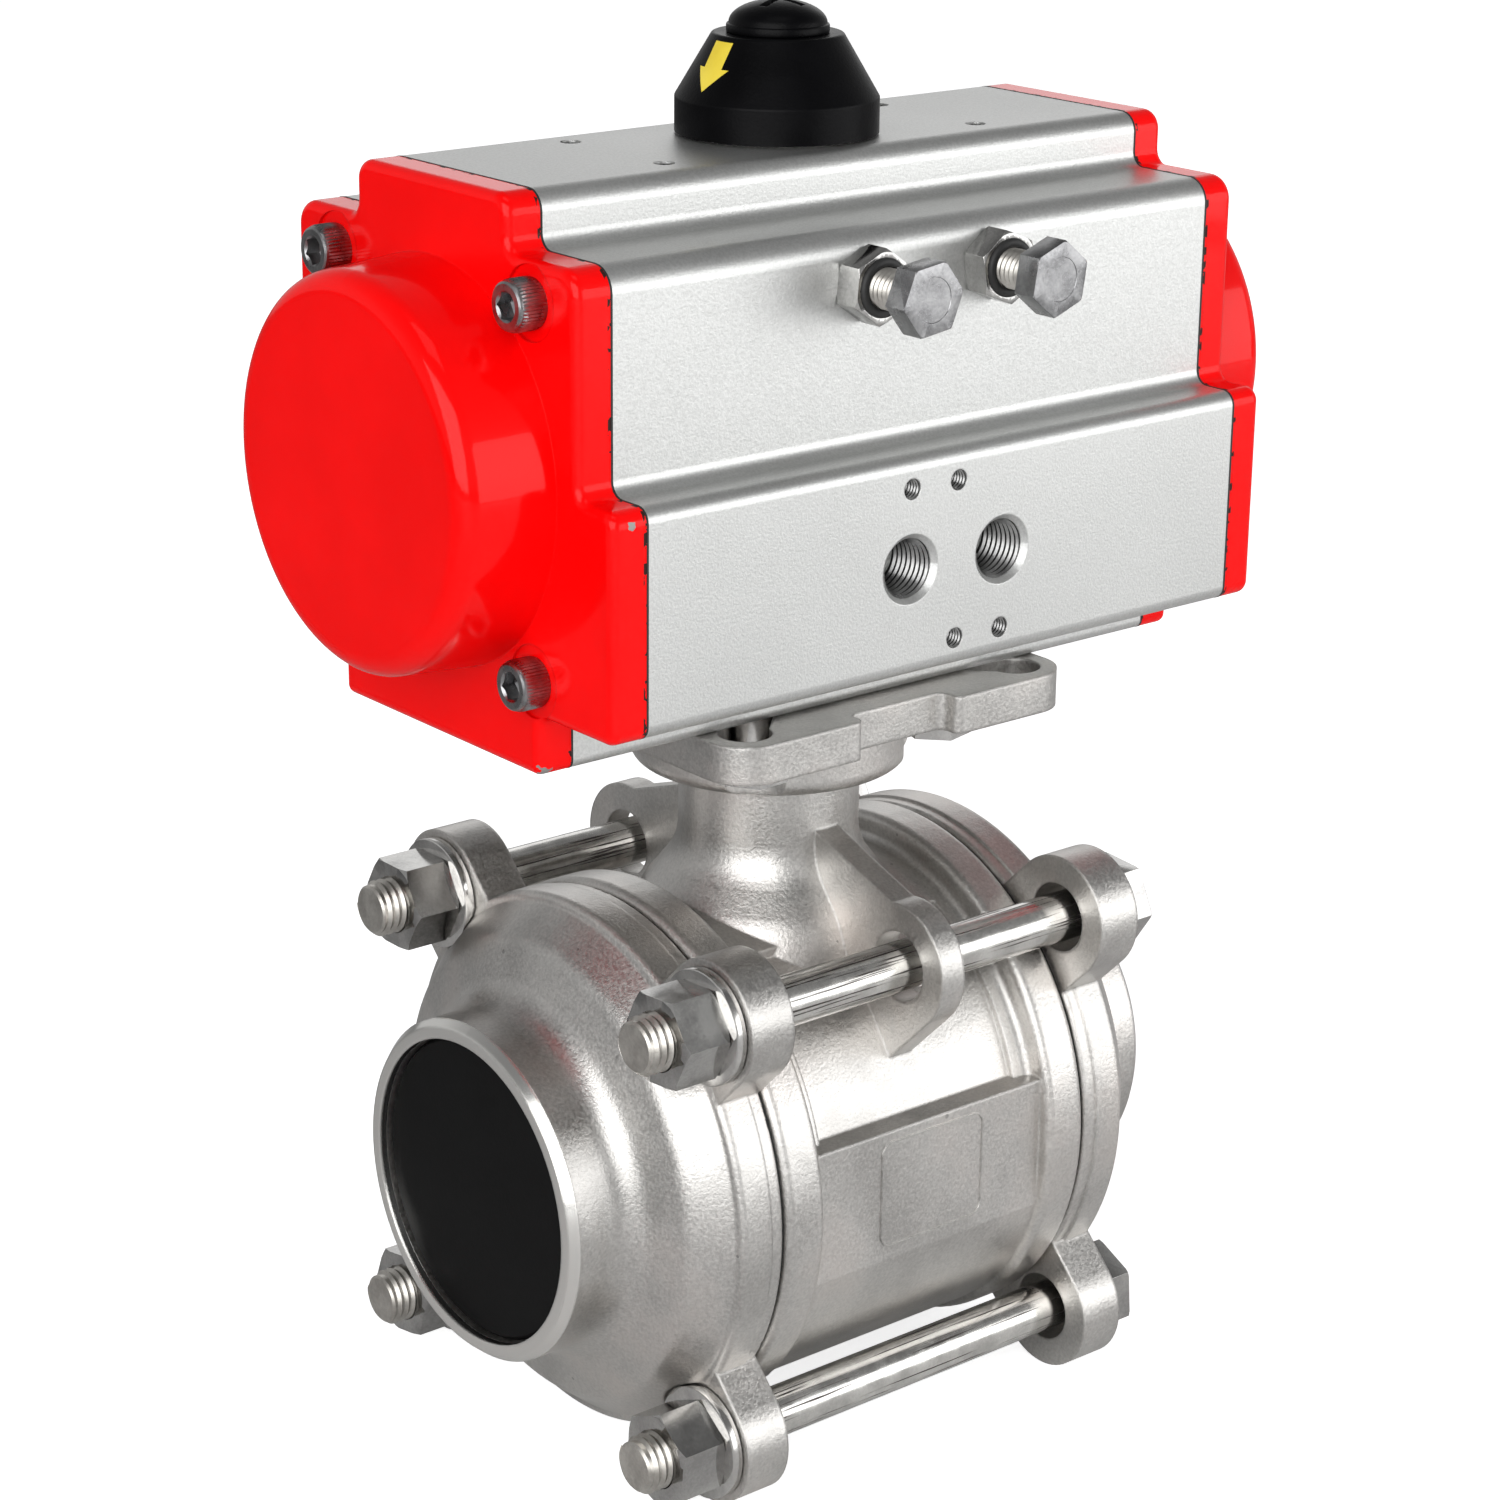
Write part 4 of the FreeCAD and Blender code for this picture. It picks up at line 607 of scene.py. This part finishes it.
def grow(tree, mesh, settings):  # runs a tree on a mesh and keeps the plain result, still in mm
    item = meshObject("seed", mesh)
    step = item.modifiers.new("grow", "NODES")
    step.node_group = tree
    for socket in tree.interface.items_tree:
        if socket.in_out == "INPUT" and socket.name in settings:
            step[socket.identifier] = settings[socket.name]
    result = evaluatedMesh(item)
    item.modifiers.clear()
    bpy.data.objects.remove(item)
    return result


def standSet(master, places, finish):
    part = meshObject("master", master)
    result = grow(fastenerTree, pointsMesh(places), {"Part": part, "Finish": finish})
    bpy.data.objects.remove(part)
    return result


def cutThreads(places, middle, ridge, pitch, length, finish):
    return grow(threadTree, pointsMesh(places), {"Middle Radius": middle, "Ridge": ridge, "Pitch": pitch,
                                                 "Length": length, "Finish": finish})


def finished(name, meshes, finishList, body, stands=(), sharp=35):
    # one object in metres from meshes in mm, each with its own finish
    shape = bmesh.new()
    for index, mesh in enumerate(meshes):
        before = len(shape.faces)
        shape.from_mesh(mesh)
        shape.faces.ensure_lookup_table()
        for face in shape.faces[before:]:
            face.material_index = index
            face.smooth = True
    bmesh.ops.remove_doubles(shape, verts=shape.verts, dist=1e-5)
    mesh = bpy.data.meshes.new(name)
    shape.to_mesh(mesh)
    shape.free()
    mesh.transform(Matrix.Scale(mm, 4))
    mesh.set_sharp_from_angle(angle=math.radians(sharp))
    for finish in finishList:
        mesh.materials.append(finish)
    piece = meshObject(name, mesh)
    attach(piece, body)
    if stands:
        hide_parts(*stands)
    return piece


ridgeShare = 0.47  # radius of an outside thread's ridge as a share of the pitch
boreRidgeShare = 0.37  # the same in a tapped hole


# tie bolts, nuts and washers

tieBolt = {"offset": 46, "lugFace": 52.3, "gap": 0.1, "shank": 5.25, "thread": 6, "pitch": 1.75, "tip": -71.1,
           "threadLength": 31, "shown": 19, "flats": 18, "head": 7.6, "nut": 10.8, "washer": 2.5,
           "washerRadius": 12, "spins": (4, 25, 0, 10)}


def tieBoltPlaces(x, direction):
    d = tieBolt["offset"]
    spots = [(-d, d), (-d, -d), (d, d), (d, -d)]
    return [(Vector((x, y, z)), facing(direction, spin)) for (y, z), spin in zip(spots, tieBolt["spins"])]


def makeTieBolts(look):
    ridge = look["pitch"] * ridgeShare
    seat = look["lugFace"] + look["gap"]
    threadEnd = look["threadLength"]  # from the tip
    coreEnd = seat - look["tip"] + 0.5
    root = look["thread"] - ridge
    nose = revolve("nose", [(0, 0), (root - 0.35, 0), (root + 0.15, 0.45), (root + 0.15, look["shown"]),
                            (look["thread"], look["shown"] + 0.5), (look["thread"], threadEnd - 0.7),
                            (look["shank"] - 0.3, threadEnd), (0, threadEnd)], 48)
    noses = standSet(nose, tieBoltPlaces(look["tip"], (1, 0, 0)), threadFinish)
    core = revolve("core", [(0, threadEnd - 2), (look["shank"], threadEnd - 2), (look["shank"], coreEnd),
                            (0, coreEnd)], 48)
    rods = standSet(core, tieBoltPlaces(look["tip"], (1, 0, 0)), shankFinish)
    coils = cutThreads(tieBoltPlaces(look["tip"] + ridge, (1, 0, 0)), root, ridge, look["pitch"],
                       look["shown"] - 2 * ridge, threadFinish)
    head = hexBlock(look["flats"], look["head"], False, True, face=0.55)
    heads = standSet(head, tieBoltPlaces(seat, (1, 0, 0)), nutFinish)
    finished("tieBolts", [rods, noses, coils, heads], [shankFinish, threadFinish, threadFinish, nutFinish],
             "frame", ["tie_bolts"])
    nutFace = -seat - look["washer"]
    nut = hexBlock(look["flats"], look["nut"], True, True, look["thread"] - 0.05, 0.52)
    nuts = standSet(nut, tieBoltPlaces(nutFace, (-1, 0, 0)), nutFinish)
    finished("tieNuts", [nuts], [nutFinish], "frame", ["tie_bolt_nuts"])
    t, r = look["washer"], look["washerRadius"]
    hole = look["thread"] + 0.4
    ring = revolve("washer", [(hole, 0.2), (hole + 0.2, 0), (r - 0.4, 0), (r - 0.1, 0.15), (r, 0.45),
                              (r, t - 0.45), (r - 0.1, t - 0.15), (r - 0.4, t), (hole + 0.2, t),
                              (hole, t - 0.2)], 72, True)
    washers = standSet(ring, tieBoltPlaces(-seat, (-1, 0, 0)), finishes["bright_steel"])
    finished("tieWashers", [washers], [finishes["bright_steel"]], "frame", ["tie_bolt_washers"])


makeTieBolts(tieBolt)
print("tie bolts ready")


# stop bolts with jam nuts and their rubber rings

stopBolt = {"offset": 16.2, "height": 189.2, "face": -46, "thread": 4, "pitch": 1.25, "exposed": 14.7, "head": 5.3,
            "flats": 13, "nut": 6, "tip": -15.2, "spins": (8, 21)}


def stopPlaces(y, direction, extra=0):
    return [(Vector((side * stopBolt["offset"], y, stopBolt["height"])), facing(direction, spin + extra))
            for side, spin in zip((-1, 1), stopBolt["spins"])]


def makeStopBolts(look):
    ridge = look["pitch"] * ridgeShare
    headFace = look["face"] - look["exposed"]
    root = look["thread"] - ridge
    length = look["tip"] - headFace
    shownLength = look["exposed"] + 1
    core = revolve("core", [(0, -0.5), (look["thread"] - 0.1, -0.5), (look["thread"] - 0.1, 0.6),
                            (root + 0.12, 0.9), (root + 0.12, shownLength), (root + 0.4, shownLength + 0.2),
                            (root + 0.4, length - 0.6), (root, length), (0, length)], 48)
    rods = standSet(core, stopPlaces(headFace, (0, 1, 0)), threadFinish)
    coils = cutThreads(stopPlaces(headFace + ridge + 0.4, (0, 1, 0)), root, ridge, look["pitch"],
                       shownLength - 2 * ridge, threadFinish)
    head = hexBlock(look["flats"], look["head"], False, True, face=0.55)
    dish = revolve("dish", [(0, look["head"] - 0.15), (look["flats"] * 0.33, look["head"] - 0.15),
                            (look["flats"] * 0.35, look["head"] + 0.3), (0, look["head"] + 0.3)], 64)
    head = carved(head, dish, "DIFFERENCE")
    heads = standSet(head, stopPlaces(headFace, (0, -1, 0)), headFinish)
    finished("stopBolts", [rods, coils, heads], [threadFinish, threadFinish, headFinish], "frame",
             ["stop_bolts"])
    nut = hexBlock(look["flats"], look["nut"], True, True, look["thread"] + 1.4, 0.52)
    nuts = standSet(nut, stopPlaces(look["face"], (0, -1, 0), 17), nutFinish)
    finished("stopNuts", [nuts], [nutFinish], "frame", ["stop_nuts"])
    inner, outer = look["thread"] - 0.1, look["thread"] * 1.45
    middle, cord = (inner + outer) / 2, (outer - inner) / 2
    rows = [(middle + cord * math.cos(a * math.pi / 8), 0.35 + 0.75 * math.sin(a * math.pi / 8))
            for a in range(16)]
    seal = revolve("seal", rows, 64, True)
    places = stopPlaces(look["face"] - look["nut"] + 0.35, (0, -1, 0))
    seals = standSet(seal, places, finishes["black_rubber"])
    finished("stopSeals", [seals], [finishes["black_rubber"]], "frame", ["stop_seals"])


makeStopBolts(stopBolt)
print("stop bolts ready")


# knurled socket screws of the end caps

capScrew = {"across": 32, "up": 36, "axis": 155.4, "seat": 83.4, "head": 5, "height": 6, "socket": 5,
            "socketDepth": 3.2, "ribs": 44, "rib": 0.22, "shank": 3, "length": 22.4}


def capScrewPlaces(look, side, x):
    return [(Vector((side * x, across * look["across"], look["axis"] + up * look["up"])),
             facing((side, 0, 0), 15 + 40 * across + 25 * up)) for across in (-1, 1) for up in (-1, 1)]


def makeCapScrews(look):
    empty = bpy.data.meshes.new("seed")
    rim = grow(knurlTree, empty, {"Radius": float(look["head"]), "Height": look["height"] - 0.75,
                                  "Depth": look["rib"], "Ribs": look["ribs"], "Finish": finishes["bright_steel"]})
    r, h = look["head"] - look["rib"], look["height"]
    crown = revolve("crown", [(0, h - 1.2), (r - 0.05, h - 1.2), (r - 0.05, h - 0.6), (r - 0.2, h - 0.25),
                              (r - 0.6, h), (0, h)], 64)
    corner = look["socket"] / math.sqrt(3)
    key = revolve("key", [(0, h - look["socketDepth"] - 0.6), (corner, h - look["socketDepth"]), (corner, h + 1),
                          (0, h + 1)], 6)
    lead = revolve("lead", [(0, h - 1), (corner - 0.35, h - 0.45), (corner + 0.35, h + 0.25), (0, h + 0.3)], 48)
    head = carved(carved(carved(rim, crown, "UNION"), key, "DIFFERENCE"), lead, "DIFFERENCE")
    shank = revolve("shank", [(0, -look["length"] + 0.1), (look["shank"] - 0.5, -look["length"] + 0.1),
                              (look["shank"], -look["length"] + 0.6), (look["shank"], 0.3), (0, 0.3)], 32)
    for side, name in ((-1, "left"), (1, "right")):
        places = capScrewPlaces(look, side, look["seat"])
        heads = standSet(head, places, headFinish)
        shanks = standSet(shank, places, finishes["bright_steel"])
        finished(name + "CapScrews", [heads, shanks], [headFinish, finishes["bright_steel"]], "frame",
                 [name + "_cap_screws"], 28)


makeCapScrews(capScrew)
print("cap screws ready")


# threads in the tapped holes

ports = {"face": -56.7, "offset": 12, "height": 134.4, "wall": 6.0, "pitch": 1.337, "length": 11.0, "start": 1.3,
         "spread": 16}
smallHoles = {"wall": 2.1, "pitch": 0.8, "length": 7.4, "start": 0.5, "topX": 40, "topY": 15, "top": 210}


def makeShadeSleeve(wall, length):  # painted shade: a near-black sleeve at the thread roots, standing for the shadow in the valleys between the thread crests
    inner, outer = wall - 0.04, wall + 0.1
    return revolve("sleeve", [(inner, 0), (outer, 0), (outer, length), (inner, length)], 48, True)


def makeTappedHoles(port, small):
    ridge = port["pitch"] * boreRidgeShare
    places = [(Vector((side * port["offset"], port["face"] + port["start"], port["height"])), facing((0, 1, 0)))
              for side in (-1, 1)]
    threads = cutThreads(places, port["wall"] + 0.05, ridge, port["pitch"], port["length"], boreThreadFinish)
    # near-black sleeves behind the port threads: painted shade in the thread valleys
    shadeSleeves = standSet(makeShadeSleeve(port["wall"], port["length"]), places, finishes["graphite"])
    looks = [boreThreadFinish, finishes["graphite"]]
    finished("portThreads", [threads, shadeSleeves], looks, "frame")
    ridge = small["pitch"] * boreRidgeShare
    spots = ((-port["offset"], port["spread"]), (0, port["spread"]), (0, -port["spread"]),
             (port["offset"], -port["spread"]))
    places = [(Vector((x, port["face"] + small["start"], port["height"] + up)), facing((0, 1, 0)))
              for x, up in spots]
    places += [(Vector((x * small["topX"], y * small["topY"], small["top"] - small["start"])), facing((0, 0, -1)))
               for x in (-1, 1) for y in (-1, 1)]
    threads = cutThreads(places, small["wall"] + 0.02, ridge, small["pitch"], small["length"],
                         boreThreadFinish)
    # near-black sleeves behind the small hole threads: painted shade in the thread valleys
    shadeSleeves = standSet(makeShadeSleeve(small["wall"], small["length"]), places, finishes["graphite"])
    finished("screwHoleThreads", [threads, shadeSleeves], looks, "frame")


makeTappedHoles(ports, smallHoles)
print("tapped holes ready")


# thin dark joint line where each end cap meets the housing

# corners of the housing section: y, z, fillet radius
housingOutline = [(-24.8, 210, 4), (24.8, 210, 4), (24.8, 199.2, 3), (46, 199.2, 5), (46, 112.4, 2),
                  (33.2, 112.4, 2), (33.2, 100.5, 2), (-33.2, 100.5, 2), (-33.2, 112.4, 2), (-56.7, 112.4, 3),
                  (-56.7, 156.9, 3), (-46, 156.9, 3), (-46, 199.2, 5), (-24.8, 199.2, 3)]
jointLine = {"face": 76, "half": 0.22, "proud": 0.07, "sunk": 0.6, "steps": 6}


def roundedPath(corners, steps, proud):
    path = []
    count = len(corners)
    for i in range(count):
        here = Vector(corners[i][:2])
        before = (Vector(corners[i - 1][:2]) - here).normalized()
        after = (Vector(corners[(i + 1) % count][:2]) - here).normalized()
        radius = corners[i][2]
        half = math.acos(max(-1, min(1, before.dot(after)))) / 2
        middle = here + (before + after).normalized() * radius / math.sin(half)
        outward = -1 if before.x * after.y - before.y * after.x > 0 else 1
        first = here + before * radius / math.tan(half) - middle
        last = here + after * radius / math.tan(half) - middle
        sweep = first.angle_signed(last)
        for k in range(steps + 1):
            arm = Matrix.Rotation(-sweep * k / steps, 2) @ first
            path.append(middle + arm * (1 + outward * -proud / radius))
    return path


def makeJointLines(look):
    outer = roundedPath(housingOutline, look["steps"], look["proud"])
    inner = roundedPath(housingOutline, look["steps"], -look["sunk"])
    for side, name in ((-1, "left"), (1, "right")):
        shape = bmesh.new()
        rings = []
        for path, x in ((outer, -1), (outer, 1), (inner, 1), (inner, -1)):
            rings.append([shape.verts.new((side * look["face"] + x * look["half"], point.x, point.y))
                          for point in path])
        mesh = closedBand(name + "line", shape, rings)
        finished(name + "JointLine", [mesh], [finishes["graphite"]], "frame")


makeJointLines(jointLine)
print("joint lines ready")


# raised plain frame on the flat rating pad of the barrel

ratingFrame = {"face": -54, "left": -13.5, "right": 14.7, "half": 12, "corner": 3, "line": 0.45, "proud": 0.3}


def makeRatingFrame(look):
    shape = bmesh.new()
    rings = []
    for inset, drop in ((0, 0.2), (look["line"] * 0.3, -look["proud"]), (look["line"] * 0.9, -look["proud"]),
                        (look["line"] * 1.2, 0.2)):
        left, right, half = look["left"] + inset, look["right"] - inset, look["half"] - inset
        radius = look["corner"] - inset
        loop = []
        for x, z, start in ((right, half, 0), (left, half, 90), (left, -half, 180), (right, -half, 270)):
            middleX = x - radius if x > 0 else x + radius
            middleZ = z - radius if z > 0 else z + radius
            for k in range(9):
                angle = math.radians(start + 90 * k / 8)
                loop.append(shape.verts.new((middleX + radius * math.cos(angle), look["face"] + drop,
                                             middleZ + radius * math.sin(angle))))
        rings.append(loop)
    mesh = closedBand("ratingFrame", shape, rings)
    finished("ratingFrame", [mesh], [finishes["cast_steel"]], "frame", (), 60)


makeRatingFrame(ratingFrame)
print("rating frame ready")


# domed indicator screw with a cross slot and a lip

indicatorScrew = {"bottom": 230, "radius": 10.3, "height": 6.38, "lip": 1.4, "slot": 1.9, "slotLength": 11.5,
                  "slotDepth": 2.6, "shank": 3, "length": 14}


def makeIndicatorScrew(look):
    r, h, low = look["radius"], look["height"], look["bottom"]
    rows = [(0, -look["length"]), (look["shank"] - 0.4, -look["length"]), (look["shank"], -look["length"] + 0.4),
            (look["shank"], 0.02), (r - 0.25, 0.02), (r - 0.05, 0.12), (r, 0.35), (r, look["lip"]),
            (r - 0.12, look["lip"] + 0.25), (r - 0.45, look["lip"] + 0.4)]
    for k in range(1, 13):
        angle = math.radians(90 * k / 12)
        rows.append(((r - 0.45) * math.cos(angle), look["lip"] + 0.4 + (h - look["lip"] - 0.4) * math.sin(angle)))
    rows[-1] = (0, h)
    dome = revolve("dome", rows, 96)
    for along, across in ((look["slotLength"], look["slot"]), (look["slot"], look["slotLength"])):
        block = revolve("block", [(0, 0), (math.sqrt(0.5), 0), (math.sqrt(0.5), 1), (0, 1)], 4)
        block.transform(Matrix.Rotation(math.radians(45), 4, "Z"))
        block.transform(Matrix.Diagonal((along, across, look["slotDepth"] + 1, 1)))
        dome = carved(dome, shifted(block, z=h - look["slotDepth"]), "DIFFERENCE")
    dome = bevelled(dome, 0.12, 40)
    dome.transform(Matrix.Rotation(math.radians(20), 4, "Z"))
    finished("indicatorScrew", [shifted(dome, z=low)], [finishes["black_plastic"]], "rotor",
             ["indicator_screw"])


makeIndicatorScrew(indicatorScrew)
print("indicator ready")


# studio

studio = {
    "horizon": 0.52, "middle": 0.30, "top": 0.16, "below": 0.3, "backdrop": 1.0,
    "floorSize": 14, "floorDrop": 0.0004, "floorRough": 0.9,  # metres, below the lowest point
    "floorGlow": 0.76, "floorSeen": 0.88, "floorReflected": 0.78, "floorFar": 0.34,
    "fadeFrom": -0.1, "fadeTo": 0.5, "fadeAlong": (-0.7, 0.7, 0),
    "aim": (0, 0, 0.1),
    "lights": [  # name, place, width, height, power
        ("keyLight", (-1.25, -0.8, 0.66), 1.6, 1.3, 21),
        ("frontLight", (0.75, -1.05, 0.3), 1.3, 0.7, 6.5),
        ("topLight", (-0.2, -0.3, 1.6), 0.8, 0.6, 1.5),
        ("rimLight", (1.2, 1.25, 0.65), 1.2, 0.8, 2),
    ],
}
cameraSettings = {"place": (-0.46086, -0.55709, 0.32795), "heading": 39.28, "dip": -18.96, "roll": 0.596,
                  "lens": 86.79, "sensor": 36, "nearest": 0.01}


def addFloor(look):  # pale to the eye, darker in the reflections
    mesh = bpy.data.meshes.new("floor")
    half = look["floorSize"] / 2
    low = cadBox[0][2] - look["floorDrop"]
    mesh.from_pydata([(-half, -half, low), (half, -half, low), (half, half, low), (-half, half, low)], [],
                     [(0, 1, 2, 3)])
    floor = meshObject("floor", mesh)
    material = bpy.data.materials.new("paleFloor")
    material.use_nodes = True
    tree = material.node_tree
    shader = tree.nodes["Principled BSDF"]
    seen = addNode(tree, "ShaderNodeLightPath").outputs["Is Camera Ray"]
    across = addNode(tree, "ShaderNodeVectorMath", operation="DOT_PRODUCT")  # falls off to the back left
    link(tree, addNode(tree, "ShaderNodeTexCoord").outputs["Object"], across.inputs[0])
    across.inputs[1].default_value = look["fadeAlong"]
    fade = addNode(tree, "ShaderNodeMapRange")
    link(tree, across.outputs["Value"], fade.inputs["Value"])
    for label, level in (("From Min", look["fadeFrom"]), ("From Max", look["fadeTo"]),
                         ("To Min", look["floorReflected"]), ("To Max", look["floorFar"])):
        fade.inputs[label].default_value = level
    color = mixColor(tree, seen, fade.outputs["Result"], grey(look["floorSeen"]))
    link(tree, color, shader.inputs["Base Color"])
    link(tree, mixColor(tree, seen, grey(0), grey(1)), shader.inputs["Emission Color"])
    shader.inputs["Roughness"].default_value = look["floorRough"]
    shader.inputs["Emission Strength"].default_value = look["floorGlow"]
    mesh.materials.append(material)


def addWorld(look):  # white behind the object, a soft grey dome in its reflections
    world = bpy.data.worlds.new("studio")
    world.use_nodes = True
    tree = world.node_tree
    shade = tree.nodes["Background"]
    apart = addNode(tree, "ShaderNodeSeparateXYZ")
    link(tree, addNode(tree, "ShaderNodeTexCoord").outputs["Generated"], apart.inputs["Vector"])
    height = mathNode(tree, "MULTIPLY_ADD", apart.outputs["Z"], 0.5, 0.5)
    dome = ramp(tree, height, [(0.3, grey(look["below"])), (0.5, grey(look["horizon"])),
                               (0.66, grey(look["horizon"])), (0.8, grey(look["middle"])), (0.97, grey(look["top"]))])
    seen = addNode(tree, "ShaderNodeLightPath").outputs["Is Camera Ray"]
    link(tree, mixColor(tree, seen, dome, grey(look["backdrop"])), shade.inputs["Color"])
    bpy.context.scene.world = world


def addSoftbox(name, place, width, height, power):
    light = bpy.data.lights.new(name, "AREA")
    light.shape = "RECTANGLE"
    light.size = width
    light.size_y = height
    light.energy = power
    item = bpy.data.objects.new(name, light)
    item.location = place
    item.rotation_euler = (Vector(studio["aim"]) - Vector(place)).to_track_quat("-Z", "Y").to_euler()
    bpy.context.collection.objects.link(item)


def addCamera(settings):
    heading = math.radians(settings["heading"])
    dip = math.radians(settings["dip"])
    roll = math.radians(settings["roll"])
    forward = Vector((math.sin(heading) * math.cos(dip), math.cos(heading) * math.cos(dip), math.sin(dip)))
    level = Vector((math.cos(heading), -math.sin(heading), 0))
    upright = level.cross(forward)
    right = math.cos(roll) * level + math.sin(roll) * upright
    up = -math.sin(roll) * level + math.cos(roll) * upright
    data = bpy.data.cameras.new("camera")
    data.lens = settings["lens"]
    data.sensor_width = settings["sensor"]
    data.clip_start = settings["nearest"]
    item = bpy.data.objects.new("camera", data)
    turn = Matrix((right, up, -forward)).transposed().to_4x4()
    item.matrix_world = Matrix.Translation(settings["place"]) @ turn
    bpy.context.collection.objects.link(item)
    bpy.context.scene.camera = item


addFloor(studio)
addWorld(studio)
for light in studio["lights"]:
    addSoftbox(*light)
addCamera(cameraSettings)
bpy.context.scene.view_settings.view_transform = "Standard"
print("studio ready")
